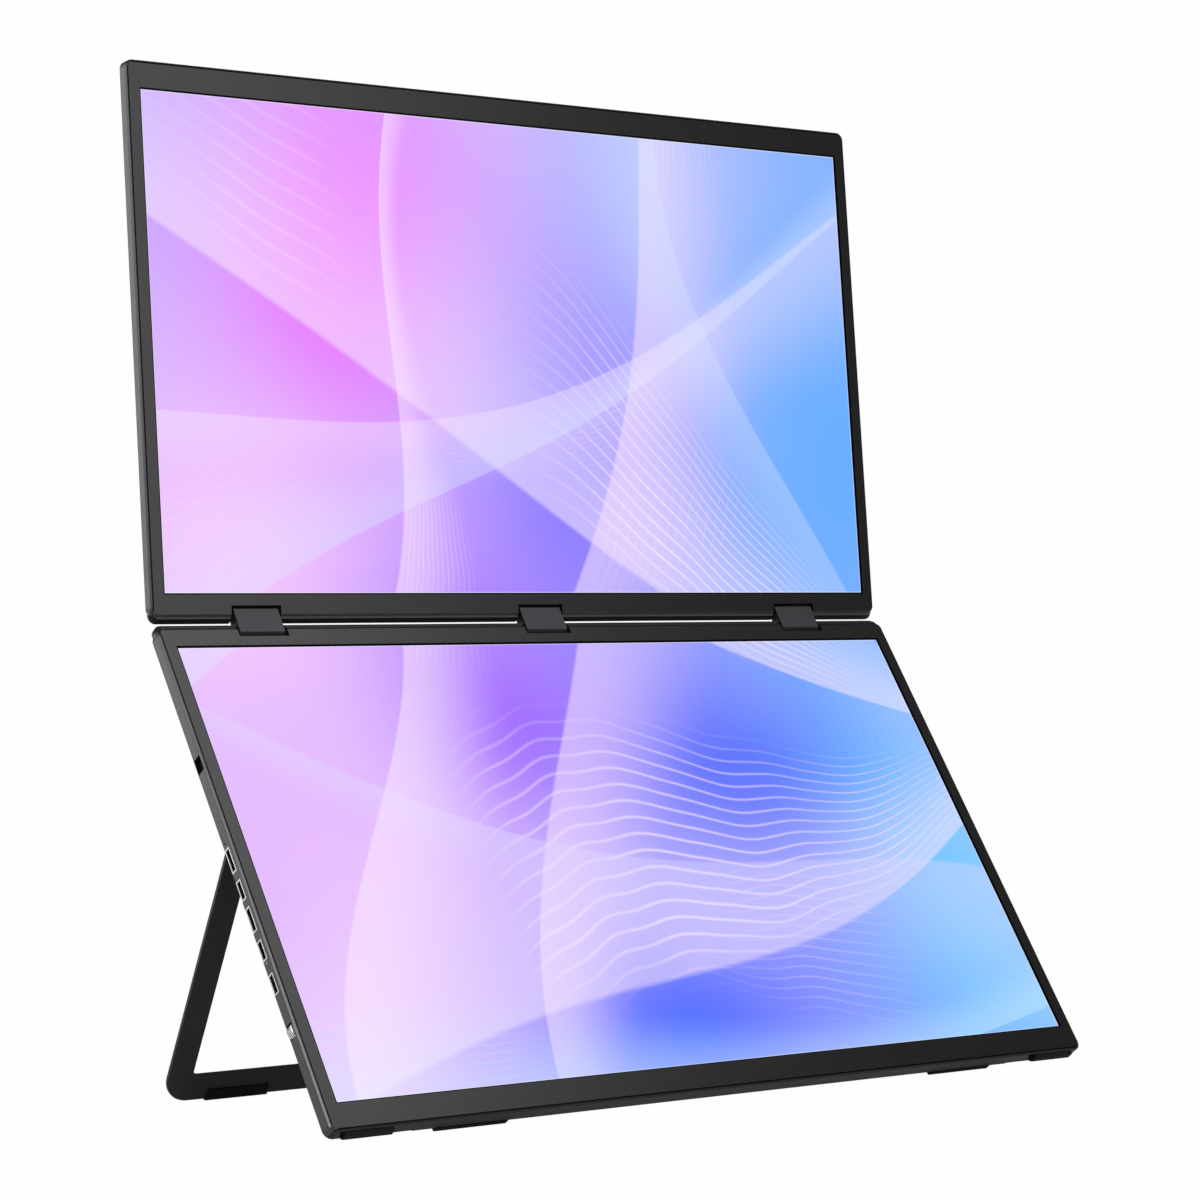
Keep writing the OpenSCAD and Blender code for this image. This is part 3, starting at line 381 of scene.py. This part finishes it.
def frame_finish(name, ruler, hinge_line):
    """Frame of a display. Its outer line of painted shade stops short of the hinge side where hinge_line is
    0.
    """
    material, shader, wire = new_finish(name, Specular_IOR_Level=0.5)
    place = place_on(wire)
    across, _, along = measured(place, ruler)
    fine, slow = grain(place, 5200, 1.0), grain(place, 60)
    # Painted shade: a black metallic line along the outer edge and around the window, in the dark seams there
    line = past_panel(across, along).step(OUTER_SHADE_LINE, OUTER_SHADE_LINE + 0.1)
    line = line * (1 - (1 - hinge_line) * (1 - along.step(HINGE_STRIP, HINGE_STRIP + 0.1)))
    line = line + 1 - past_screen(across, along).step(WINDOW_SHADE_LINE - 0.1, WINDOW_SHADE_LINE)
    tone = mix(line, mix(fine.step(0.35, 0.7), colour("#0c0c0d"), colour("#141415")), BLACK)
    rough = 0.24 + 0.05 * fine + 0.03 * slow + 0.4 * line
    feed(shader, Base_Color=tone, Metallic=line, Roughness=rough, Normal=bumped(fine, 0.10, 0.02))
    return material


dress(frame_finish("satin black upper frame", upper, 0), "upper_front_frame")
dress(frame_finish("satin black lower frame", lower, 1), "lower_front_frame")
print("front frames done")

# %% [markdown]
# ## Rear covers
# Each rear cover is a shallow tray of aluminium, bead-blasted and anodised dark grey. It is metal all over,
# so it has no colour of its own away from the lamps: a face that looks at a lamp is pale, and a face that
# looks past it is nearly black. A slanted edge was cut all round its front. At the sides that edge gets a
# painted tone in place of the light it reflects, a little darker than the metal on the upper cover and a
# painted highlight on the lower, and against the frame it gets a dark seam of painted shadow. Along the
# hinges that edge carries a plastic strip whose tone is painted light and shade: grey on the upper cover,
# as a painted reflection, and near black on the lower. The sloped lip behind it and the insides of the
# notches are painted black as shade and made dull. The side furthest from the hinges is darkened with
# painted shade, and fine lines of painted shade run along the creases of the sides. One shader does all of
# it: distances on the display's ruler tell it where each of them is.

# %% Rear cover metal
UPPER_T, LOWER_T = 6.2, 7.6
RIM_W, CUT_END, SEAM_IN, SEAM_SHADE_SHARE = 1.05, 1.0, 0.76, 0.75
CREASE_SHADE_FRONT, CREASE_SHADE_BACK, SIDE_IN = 0.7, 0.9, 0.7
FAR_IN, FAR_SHADE_SHARE = 1.0, 0.6
HINGE_X, NOTCH_HALF, NOTCH_DEEP, LIP_BACK = 158.0, 13.0, 5.1, 4.4


def from_hinge(across):
    """Distance sideways from the nearest of the three hinges."""
    return ((across.size() - HINGE_X / 2).size() - HINGE_X / 2).size()


def cover_finish(name, ruler, thick, crease_shade, painted_edge_tone, strip):
    """Cover of a display of this thickness. The last three arguments are painted light and shade: how dark
    the painted shade in its creases is, the tone painted onto the cut edge at the sides in place of the light
    it reflects, and the painted tone of the plastic strip at the hinges."""
    material, shader, wire = new_finish(name, Specular_IOR_Level=0.4)
    place = place_on(wire)
    across, back, along = measured(place, ruler)
    out = past_panel(across, along)
    notch = 1 - from_hinge(across).step(NOTCH_HALF, NOTCH_HALF + 0.1)
    notch = notch * (1 - along.step(NOTCH_DEEP, NOTCH_DEEP + 0.1))
    cut = out.step(-RIM_W - 0.1, -RIM_W) * (1 - back.step(CUT_END, CUT_END + 0.05))
    at_sides = across.size().step(PANEL_W / 2 - RIM_W, PANEL_W / 2 - RIM_W + 0.1)
    far_side_shade = (along - PANEL_H).step(-FAR_IN - 0.1, -FAR_IN + 0.1)
    hinge_side = 1 - along.step(RIM_W, RIM_W + 0.05)
    lip = hinge_side * back.step(CUT_END, CUT_END + 0.05) * (1 - back.step(LIP_BACK, LIP_BACK + 0.4))
    seam_shade = cut * (1 - hinge_side) * (1 - out.step(-SEAM_IN, -SEAM_IN + 0.08))
    beads, speckle, cloud = grain(place, 6000, 1.0), grain(place, 1700, 1.0), grain(place, 45)
    metal = mix(beads.step(0.3, 0.75), colour("#505053"), colour("#5e5e61"))
    metal = mix(speckle.step(0.35, 0.7) * 0.35, metal, colour("#3c3c3f"))
    metal = mix(cloud.step(0.2, 0.9) * 0.2, metal, colour("#48484b"))
    # Painted shade: fine dark lines along the creases of the sides
    lines = back.inside(CUT_END, CUT_END + CREASE_SHADE_FRONT, 0.1)
    lines = lines + back.inside(thick - CREASE_SHADE_BACK, thick - 0.02, 0.1)
    metal = mix(lines * out.step(-SIDE_IN, -SIDE_IN + 0.05) * crease_shade, metal, colour("#1a1a1b"))
    # Painted tone on the cut edge at the sides, in place of the light it reflects
    metal = mix(cut * at_sides, metal, colour(painted_edge_tone))
    # Painted shade: the side furthest from the hinges is darkened
    metal = mix(far_side_shade * FAR_SHADE_SHARE, metal, colour("#1a1a1b"))
    # The strip's tone is painted light and shade: grey on the upper cover as a painted reflection, near black
    # on the lower
    plastic = cut * hinge_side
    metal = mix(plastic, metal, colour(strip))
    # Painted shade: the sloped lip and the insides of the notches are painted black
    black = notch.maths("MAXIMUM", notch, lip)
    metal = mix(black, metal, colour("#020203"))
    # Painted shadow: a dark seam on the cut edge next to the frame
    metal = mix(seam_shade * SEAM_SHADE_SHARE, metal, BLACK)
    rough = 0.30 + 0.08 * beads + 0.3 * black + 0.2 * plastic
    shiny = (1 - plastic) * (1 - black)
    blasted = bumped(beads + 0.6 * speckle, 0.14, 0.03)
    feed(shader, Base_Color=metal, Metallic=shiny, Roughness=rough, Normal=blasted)
    return material


# The last three values are painted shade and light: creases, cut edge at the sides and hinge strip
dress(cover_finish("upper rear cover metal", upper, UPPER_T, 0.15, "#4c4c4f", "#3c3c3e"), "upper_rear_cover")
print("upper rear cover done")

# %% [markdown]
# The lower cover is the same metal with one more place of painted shade: the groove and the side pockets on
# the stand's hinge line. They are deep, so they are painted black and made dull in the same way as the hinge
# notches. The finish of the upper cover is made a second time for this display, and what it feeds to the
# shader passes through one more mask, so both covers stay alike.

# %% Lower rear cover
STAND_Z, GROOVE_HALF, POCKET_X, FRONT_WALL = 71.1, 3.72, 170.0, 1.0


def lower_cover_finish():
    # Painted shade and light for this cover: darker creases, a painted highlight on the cut edge, a
    # near-black hinge strip
    material = cover_finish("lower rear cover metal", lower, LOWER_T, 0.4, "#6e6e71", "#0c0c0d")
    tree = material.node_tree
    shader = tree.nodes["Principled BSDF"]
    wire = Wire(tree)
    across, back, along = measured(place_on(wire), lower)
    # Painted shade: the groove and the side pockets are painted black
    pit_shade = (along - STAND_Z).inside(-GROOVE_HALF, GROOVE_HALF, 0.03)
    pit_shade = pit_shade * across.size().step(POCKET_X, POCKET_X + 1) * back.step(FRONT_WALL, FRONT_WALL + 0.05)
    fed = [shader.inputs[name].links[0].from_socket for name in ("Base Color", "Metallic", "Roughness")]
    tone, metallic, rough = [Wire(tree, socket) for socket in fed]
    shiny, dull = metallic * (1 - pit_shade), rough * (1 - pit_shade) + pit_shade * 0.6
    feed(shader, Base_Color=mix(pit_shade, tone, colour("#030304")), Metallic=shiny, Roughness=dull)
    return material


dress(lower_cover_finish(), "lower_rear_cover")
print("lower rear cover done")

# %% [markdown]
# ## Hinges
# Three metal blocks join the displays. Each was milled and painted dark. Its flanks and the slanted edge
# that turns into the upper notch are painted black as shade, and the lower slanted edge gets a painted
# shade a little darker than the face. The pins are bare turned steel. The brackets that hold the pins inside
# the displays are stamped from zinc-plated sheet, which has a faint cloudy bloom. One finish makes both,
# since the same noise gives lines when it is stretched and clouds when it is not.

# %% Hinge metals
LINK_SPAN, LINK_W, LINK_FLAT, LINK_METALLIC = 10.7, 23.5, 0.85, 0.55


def link_finish():
    material, shader, wire = new_finish("painted hinge metal", Specular_IOR_Level=0.5)
    place = place_on(wire)
    across, _, along = measured(place, links)
    above = (along - LINK_SPAN).step(LINK_FLAT, LINK_FLAT + 0.1)
    below = 1 - along.step(-LINK_FLAT - 0.1, -LINK_FLAT)
    flank = from_hinge(across).step(LINK_W / 2 - 0.08, LINK_W / 2 - 0.04)
    fine, brushed = grain(place, 4200), grain(place, 900, 2.0, (0.05, 1.0, 1.0))
    paint = mix(fine.step(0.3, 0.8), colour("#39393c"), colour("#46464a"))
    # Painted shade: the lower slanted edge is darker than the face
    paint = mix(below, paint, colour("#242426"))
    # Painted shade: the flanks and the upper slanted edge are painted black
    dark = above.maths("MAXIMUM", above, flank)
    paint = mix(dark, paint, colour("#030304"))
    rough = 0.42 + 0.12 * brushed + 0.1 * dark
    shiny = LINK_METALLIC * (1 - dark)
    feed(shader, Base_Color=paint, Metallic=shiny, Roughness=rough, Normal=bumped(fine, 0.1, 0.02))
    return material


def steel_finish(name, light, dark, scale, stretch, roughness):
    """Bare or plated steel with drawn lines or bloom."""
    material, shader, wire = new_finish(name, Metallic=1.0)
    place = place_on(wire)
    lines, bloom = grain(place, scale, 3.0, stretch), grain(place, 160)
    tone = mix(lines.step(0.25, 0.8), colour(dark), colour(light))
    tone = mix(bloom.step(0.3, 0.9) * 0.35, tone, colour(dark))
    feed(shader, Base_Color=tone, Roughness=roughness + 0.16 * lines, Normal=bumped(lines, 0.08, 0.02))
    return material


HINGES = ("left", "middle", "right")
dress(link_finish(), *[f"{side}_hinge_link" for side in HINGES])
pin_steel = steel_finish("turned pin steel", "#c6c8cc", "#8e9196", 7000, (1.0, 0.12, 0.12), 0.18)
zinc = steel_finish("zinc plated sheet", "#b3b7ba", "#7c8186", 900, (1.0, 1.0, 1.0), 0.34)
for side in HINGES:
    dress(pin_steel, f"{side}_lower_pin", f"{side}_upper_pin")
    dress(zinc, f"{side}_lower_bracket", f"{side}_upper_bracket")
dress(zinc, "left_stand_bracket", "right_stand_bracket")
dress(pin_steel, "left_stand_pin", "right_stand_pin")
print("hinges done")

# %% [markdown]
# ## Stand and rubber
# The stand is steel sheet with a black powder coat, which dries with a faint orange-peel surface. Its feet
# and the feet of the lower display are rubber: very dark, quite rough, with a little dust in the grain. As
# two flat blacks they would look alike, so bump and roughness tell the paint from the rubber.

# %% Powder coat and rubber
def powder_finish():
    material, shader, wire = new_finish("black powder coat", Specular_IOR_Level=0.5)
    place = place_on(wire)
    peel, fine = grain(place, 1400, 2.0), grain(place, 5200, 1.0)
    tone = mix(peel.step(0.3, 0.7), colour("#141416"), colour("#1e1e20"))
    feed(shader, Base_Color=tone, Roughness=0.44 + 0.10 * fine, Normal=bumped(peel + 0.4 * fine, 0.14, 0.05))
    return material


def rubber_finish():
    material, shader, wire = new_finish("black rubber", Specular_IOR_Level=0.25)
    place = place_on(wire)
    dust, fine = grain(place, 260, 4.0), grain(place, 3800)
    tone = mix(dust.step(0.5, 0.85) * 0.5, colour("#050506"), colour("#141415"))
    feed(shader, Base_Color=tone, Roughness=0.62 + 0.2 * fine, Normal=bumped(fine, 0.25, 0.06))
    return material


dress(powder_finish(), "stand_frame")
dress(rubber_finish(), "stand_feet", "front_feet", "rest_pads")
print("stand and rubber done")

# %% [markdown]
# ## Sockets, wheel and status light
# The sockets are folded from bright nickel-plated sheet. Light hardly gets into them, so the metal darkens
# quickly behind the mouth. On the tongue in the middle sit small gold contacts in black plastic, at the
# real spacing: half a millimetre in the oval sockets and four tenths in the wider ones. They are too small
# to be worth a mesh, so a striped mask draws them.

# %% Socket metal
PORT_DEPTH, SHELL_IN, TONGUE_HALF, TONGUE_START = 4.95, 7.6, 0.36, 0.9
CONTACT_START, CONTACT_END, DARK_FROM, DARK_BY = 1.4, 5.0, 0.45, 1.4
WIDE_SOCKET_Z, OVAL_SOCKET_Z = (119.7, 149.5), (134.8, 164.8, 181.2)
WIDE_PITCH, OVAL_PITCH = 0.4, 0.5


def socket_finish(name, places, pitch, width_half):
    """Bright shell that darkens inwards, and a tongue with contacts in each of these places."""
    material, shader, wire = new_finish(name)
    place = place_on(wire)
    across, back, along = measured(place, lower)
    inward = across + PANEL_W / 2
    off = along - places[0]
    for other in places[1:]:
        off = off.maths("MINIMUM", off.size(), (along - other).size())
    tongue = inward.step(TONGUE_START, TONGUE_START + 0.1) * (1 - inward.step(SHELL_IN - 0.5, SHELL_IN - 0.4))
    tongue = tongue * (1 - (back - PORT_DEPTH).size().step(TONGUE_HALF, TONGUE_HALF + 0.06))
    tongue = tongue * (1 - off.size().step(width_half, width_half + 0.1))
    contact = (along / pitch).maths("FRACT").inside(0.2, 0.8, 0.08)
    contact = contact * inward.inside(CONTACT_START, CONTACT_END)
    nickel = mix(inward.step(DARK_FROM, DARK_BY), colour("#d2d3d6"), colour("#2a2a2c"))
    tip = mix(contact, colour("#0b0b0c"), colour("#c89a4a"))
    lines = grain(place, 2600, 2.0, (0.1, 1.0, 1.0))
    tone, shiny = mix(tongue, nickel, tip), 1 - tongue * (1 - contact)
    drawn = bumped(lines, 0.05, 0.02)
    feed(shader, Base_Color=tone, Metallic=shiny, Roughness=0.22 + 0.14 * lines, Normal=drawn)
    return material


dress(socket_finish("mini socket nickel", WIDE_SOCKET_Z, WIDE_PITCH, 4.0), "mini_hdmi_sockets")
dress(socket_finish("oval socket nickel", OVAL_SOCKET_Z, OVAL_PITCH, 3.35), "usb_c_sockets")
print("sockets done")

# %% [markdown]
# The control wheel is turned from aluminium and left bright, with a fine lathe mark on its flat faces, and
# it is darker in the bottom of its grooves. A sine of the distance from its middle draws those marks as
# rings. The steel cradle around it is plain. The status light is the end of a clear plastic rod.

# %% Wheel, cradle and status light
WHEEL_X, WHEEL_Y, WHEEL_Z, WHEEL_R = -209.68, 4.0, 204.6, 3.5
RIM_HALF, LATHE_TURNS = 1.95, 9.0


def wheel_finish():
    material, shader, wire = new_finish("turned wheel aluminium", Metallic=1.0)
    across, back, along = measured(place_on(wire), lower)
    dx, dz = across - WHEEL_X, along - WHEEL_Z
    radius = (dx * dx + dz * dz).maths("SQRT")
    lathe = (radius * LATHE_TURNS).maths("SINE")
    groove = 1 - radius.step(WHEEL_R - 0.2, WHEEL_R - 0.05)
    rim = back.inside(WHEEL_Y - RIM_HALF, WHEEL_Y + RIM_HALF, 0.02)
    tone = mix(groove * rim, colour("#f2f2f4"), colour("#6a6b6f"))
    feed(shader, Base_Color=tone, Roughness=0.24 + 0.05 * lathe, Normal=bumped(lathe, 0.1, 0.02))
    return material


def clear_rod_finish():
    material, shader, wire = new_finish("clear light rod", Roughness=0.2, Specular_IOR_Level=0.5)
    place = place_on(wire)
    tone = mix(grain(place, 900), colour("#9fa3a8"), colour("#c4c8cc"))
    feed(shader, Base_Color=tone)
    return material


dress(wheel_finish(), "control_wheel")
dress(steel_finish("cradle sheet steel", "#a9acb0", "#6f7276", 1800, (1.0, 0.1, 1.0), 0.3), "wheel_cradle")
dress(clear_rod_finish(), "status_light")
print("wheel done")

# %% [markdown]
# ## Inside the displays
# These pieces show only when the displays are opened or a cover is hidden, but they belong to the part. The
# mid plate is brushed steel, the light guide is acrylic with printed dots, and the boards are green with
# copper runs under the varnish and black chips on their fronts. Runs, pads and dots are flat, so repeating
# masks draw them and the meshes stay light.

# %% Inner layers
LED_COUNT, LED_COPPER = 36, 2.4
BOARD_FRONT, DRIVER_FRONT = 5.68, 4.3
RUN_PITCH, RUN_WANDER, DOT_SCALE, PAD_SCALE = 1.6, 4.8, 700.0, 260.0


def guide_finish():
    material, shader, wire = new_finish("acrylic light guide", Roughness=0.12)
    place = place_on(wire)
    spacing = {"Vector": place, "Scale": DOT_SCALE, "Randomness": 0.1}
    dots = place.node("ShaderNodeTexVoronoi", {"distance": "EUCLIDEAN"}, spacing)
    tone = mix(dots.step(0.2, 0.35), WHITE, colour("#d9dee2"))
    feed(shader, Base_Color=tone, Normal=bumped(dots, 0.05, 0.02))
    return material


def led_finish(name, ruler):
    material, shader, wire = new_finish(name, Roughness=0.45)
    across, back, along = measured(place_on(wire), ruler)
    lamp = ((across + ACTIVE_W / 2) / (ACTIVE_W / LED_COUNT)).maths("FRACT").inside(0.35, 0.65, 0.02)
    low = 1 - along.step(HINGE_BEZEL + ACTIVE_H + 0.3, HINGE_BEZEL + ACTIVE_H + 0.4)
    tone = mix(lamp * low, colour("#e9e9e4"), colour("#f0d75a"))
    copper = back.inside(LED_COPPER - 0.1, LED_COPPER + 0.1, 0.05)
    feed(shader, Base_Color=mix(copper * 0.5, tone, colour("#b97a3c")))
    return material


def board_finish(name, ruler, board_front):
    """Solder mask with runs and pads. The chips stand in front of the board's own front face."""
    material, shader, wire = new_finish(name, Specular_IOR_Level=0.5)
    place = place_on(wire)
    across, back, _ = measured(place, ruler)
    spacing = {"Vector": place, "Scale": PAD_SCALE}
    blocks = place.node("ShaderNodeTexVoronoi", {"distance": "CHEBYCHEV"}, spacing)
    runs = (across / RUN_PITCH + grain(place, 90) * RUN_WANDER).maths("FRACT").inside(0.3, 0.55, 0.08)
    mask = mix(runs, colour("#123c22"), colour("#1f5a33"))
    pads = 1 - blocks.step(0.05, 0.09)
    mask = mix(pads, mask, colour("#c9a24e"))
    chip = 1 - back.step(board_front - 0.06, board_front - 0.03)
    tone = mix(chip, mask, colour("#18181a"))
    raised = bumped(runs, 0.1, 0.03)
    feed(shader, Base_Color=tone, Metallic=pads * (1 - chip), Roughness=0.35 + 0.2 * chip, Normal=raised)
    return material


brushed = steel_finish("brushed mid plate", "#b9bbbe", "#8b8e92", 1600, (0.03, 1.0, 1.0), 0.28)
dress(brushed, "upper_mid_plate", "lower_mid_plate")
dress(guide_finish(), "upper_light_guide", "lower_light_guide")
dress(led_finish("upper lamp strip", upper), "upper_led_strip")
dress(led_finish("lower lamp strip", lower), "lower_led_strip")
dress(board_finish("main board varnish", lower, BOARD_FRONT), "main_board")
dress(board_finish("driver board varnish", upper, DRIVER_FRONT), "driver_board")
print("inner layers done")

# %% [markdown]
# Screws, speakers, cables and ribbons finish the inside. The ribbon is amber film with copper lines. The
# cable has a woven sheath, which two crossed waves imitate. The screws of the covers are black, and those
# inside are bright.

# %% Screws, cables and speakers
RIBBON_PITCH, WEAVE_TURNS, PLUNGER_X = 0.8, 5.0, -204.9
SPEAKER_X, SPEAKER_Z, FOAM_W, FOAM_H = 135.0, 211.0, 28.0, 14.0


def screw_finish(name, light, dark, metallic):
    material, shader, wire = new_finish(name, Metallic=metallic)
    place = place_on(wire)
    fine = grain(place, 3000)
    tone = mix(fine.step(0.3, 0.75), colour(dark), colour(light))
    feed(shader, Base_Color=tone, Roughness=0.3 + 0.15 * fine)
    return material


def ribbon_finish():
    material, shader, wire = new_finish("amber ribbon film", Roughness=0.35)
    across = measured(place_on(wire), upper)[0]
    line = (across / RIBBON_PITCH).maths("FRACT").inside(0.25, 0.75, 0.06)
    feed(shader, Base_Color=mix(line, colour("#d9862a"), colour("#a8551a")), Metallic=0.3 * line)
    return material


def sheath_finish():
    material, shader, wire = new_finish("woven cable sheath", Roughness=0.6)
    across, _, along = measured(place_on(wire), links)
    first, second = (across + along) * WEAVE_TURNS, (across - along) * WEAVE_TURNS
    weave = first.maths("SINE") * second.maths("SINE")
    tone = mix(weave.step(-0.5, 0.5), colour("#161618"), colour("#2e2e31"))
    feed(shader, Base_Color=tone, Normal=bumped(weave, 0.3, 0.1))
    return material


def speaker_finish():
    material, shader, wire = new_finish("speaker box plastic")
    place = place_on(wire)
    across, _, along = measured(place, lower)
    foam = (across.size() - SPEAKER_X).inside(-FOAM_W / 2, FOAM_W / 2, 0.3)
    foam = foam * (along - SPEAKER_Z).inside(-FOAM_H / 2, FOAM_H / 2, 0.3)
    cells = grain(place, 1500, 3.0)
    tone = mix(foam, colour("#17171a"), mix(cells.step(0.35, 0.65), colour("#202022"), colour("#3a3a3d")))
    feed(shader, Base_Color=tone, Roughness=0.5 + 0.3 * foam, Normal=bumped(cells * foam, 0.4, 0.2))
    return material


def switch_finish():
    material, shader, wire = new_finish("switch body")
    place = place_on(wire)
    plunger = 1 - measured(place, lower)[0].step(PLUNGER_X, PLUNGER_X + 0.1)
    fine = grain(place, 2500)
    tone = mix(plunger, mix(fine.step(0.3, 0.7), colour("#1b1b1d"), colour("#29292c")), colour("#d9d9d4"))
    feed(shader, Base_Color=tone, Roughness=0.4 + 0.15 * fine)
    return material


dress(screw_finish("black screw", "#2b2b2d", "#161617", 0.6), "upper_cover_screws", "lower_cover_screws")
bright_screw = screw_finish("bright screw", "#c9cbce", "#8f9296", 1.0)
dress(bright_screw, "board_screws", "lower_bracket_screws", "upper_bracket_screws")
dress(ribbon_finish(), "upper_display_ribbon", "lower_display_ribbon")
dress(sheath_finish(), "lower_feed_cable", "link_cable", "upper_feed_cable")
dress(speaker_finish(), "speakers")
dress(switch_finish(), "wheel_switch")
print("inside done")

# %% [markdown]
# ## Softened edges
# No real edge is perfectly sharp, and a thin highlight along an edge tells the eye what a thing is made of.
# The CAD parts keep their stored shape. On the stand and the hinge links, a weld joins the faces again and a
# small bevel rounds what is sharper than thirty-five degrees, both as modifiers on top.

# %% Bevel modifiers
WELD_GAP, SHARP_FROM = 0.02, 35


def soften(name, width):
    part = parts[name]
    weld = part.modifiers.new("joined faces", "WELD")
    weld.merge_threshold = WELD_GAP * MM
    bevel = part.modifiers.new("softened edges", "BEVEL")
    bevel.width, bevel.segments = width * MM, 2
    bevel.limit_method, bevel.angle_limit = "ANGLE", math.radians(SHARP_FROM)
    bevel.harden_normals = True


soften("stand_frame", 0.35)
for side in HINGES:
    soften(f"{side}_hinge_link", 0.15)
print("softened parts:", [name for name, part in parts.items() if part.modifiers])

# %% [markdown]
# ## Floor, backdrop and light
# The object stands on a white floor in front of a white wall. The wall turns with the camera and meets the
# floor in a wide curve, because a corner would show as a grey line across the picture.

# %% Floor and backdrop
FLOOR_BACK, FLOOR_FRONT, FLOOR_HALF, CURVE_R, WALL_TOP = 2.6, -6.0, 5.0, 1.0, 4.5
FLOOR_LEVEL, CURVE_STEPS = -0.0004, 16


def stage_profile():
    """Points of the floor and wall from front to top, as distance back and height."""
    points = [(FLOOR_FRONT, 0.0), (FLOOR_BACK, 0.0)]
    for step in range(1, CURVE_STEPS + 1):
        angle = math.radians(90 * step / CURVE_STEPS)
        points.append((FLOOR_BACK + CURVE_R * math.sin(angle), CURVE_R * (1 - math.cos(angle))))
    return points + [(FLOOR_BACK + CURVE_R, WALL_TOP)]


stage_mesh = bmesh.new()
rows = []
for y, z in stage_profile():
    rows.append([stage_mesh.verts.new((x, y, z + FLOOR_LEVEL)) for x in (-FLOOR_HALF, FLOOR_HALF)])
for near, far in zip(rows, rows[1:]):
    stage_mesh.faces.new((near[0], near[1], far[1], far[0]))
stage_data = bpy.data.meshes.new("floor_and_backdrop")
stage_mesh.to_mesh(stage_data)
stage_mesh.free()
for face in stage_data.polygons:
    face.use_smooth = True
floor = bpy.data.objects.new("floor_and_backdrop", stage_data)
bpy.context.scene.collection.objects.link(floor)
floor.rotation_euler.z = math.radians(-CAMERA_TURN)
print("floor with", len(stage_data.polygons), "faces")

# %% [markdown]
# Lamps strong enough to make the floor white would wash out the monitor. So camera rays get most of the
# white from the paint itself, as light, and the lamps can stay gentle. The rest of the paint takes the
# light of the lamps, so the shadow of the stand remains.

# %% Studio paint
FLOOR_WHITE, SHARE_CAMERA, SHARE_GLOSSY = (0.86, 0.86, 0.86, 1.0), 0.985, 0.10

paint, shader, wire = new_finish("white studio paint", Base_Color=FLOOR_WHITE, Roughness=0.8)
shader.inputs["Specular IOR Level"].default_value = 0.1
seen = wire.node("ShaderNodeLightPath", out="Is Camera Ray") * SHARE_CAMERA
seen = seen + wire.node("ShaderNodeLightPath", out="Is Glossy Ray") * SHARE_GLOSSY
seen = seen + wire.node("ShaderNodeLightPath", out="Is Transmission Ray") * SHARE_CAMERA
lit_paint, glow = Wire(wire.tree, shader.outputs[0]), wire.node("ShaderNodeEmission")
blend = wire.node("ShaderNodeMixShader", None, {0: seen, 1: lit_paint, 2: glow})
wire.tree.links.new(blend.socket, wire.tree.nodes["Material Output"].inputs["Surface"])
floor.data.materials.append(paint)
print("paint shows itself to the camera by", SHARE_CAMERA)

# %% [markdown]
# Four large area lamps do the lighting: one in front on the right, one overhead, and two on the left, of
# which one stands behind the monitor. The metal covers and the satin frames show them as a pale haze, so
# their places decide which faces come out light. A lamp's power is worked out from the brightness of its
# face, and the sky around adds a little grey light.

# %% Lamps and the sky around
# Each lamp: place, what it looks at, width, height and how bright its face is, where 1 is white
LAMPS = {
    "front_softbox": ((0.52, -2.07, 0.85), (-0.10, 0.0, 0.34), 1.4, 1.5, 1.85),
    "overhead_softbox": ((0.33, -0.92, 1.85), (-0.10, -0.05, 0.12), 1.5, 1.2, 2.3),
    "back_left_panel": ((-1.9, 1.9, 0.97), (0.0, 0.0, 0.25), 1.6, 1.86, 2.75),
    "camera_left_panel": ((-2.15, -1.15, 1.65), (0.0, 0.0, 0.25), 1.1, 2.4, 3.2),
}
for name, (place, aim, wide, high, bright) in LAMPS.items():
    lamp = bpy.data.lights.new(name, "AREA")
    lamp.shape, lamp.size, lamp.size_y = "RECTANGLE", wide, high
    lamp.energy = bright * math.pi * wide * high
    holder = bpy.data.objects.new(name, lamp)
    holder.location = place
    holder.rotation_euler = (Vector(aim) - Vector(place)).to_track_quat("-Z", "Y").to_euler()
    bpy.context.scene.collection.objects.link(holder)

ROOM_LIGHT = 0.14
world = bpy.data.worlds.new("white room")
bpy.context.scene.world = world
world.use_nodes = True
room = world.node_tree.nodes["Background"]
room_wire = Wire(world.node_tree)
seen = room_wire.node("ShaderNodeLightPath", out="Is Camera Ray")
grey = (ROOM_LIGHT, ROOM_LIGHT, ROOM_LIGHT, 1.0)
world.node_tree.links.new(mix(seen, grey, WHITE).socket, room.inputs["Color"])
bpy.context.scene.view_settings.view_transform = "Standard"
print("lamps:", len(LAMPS))
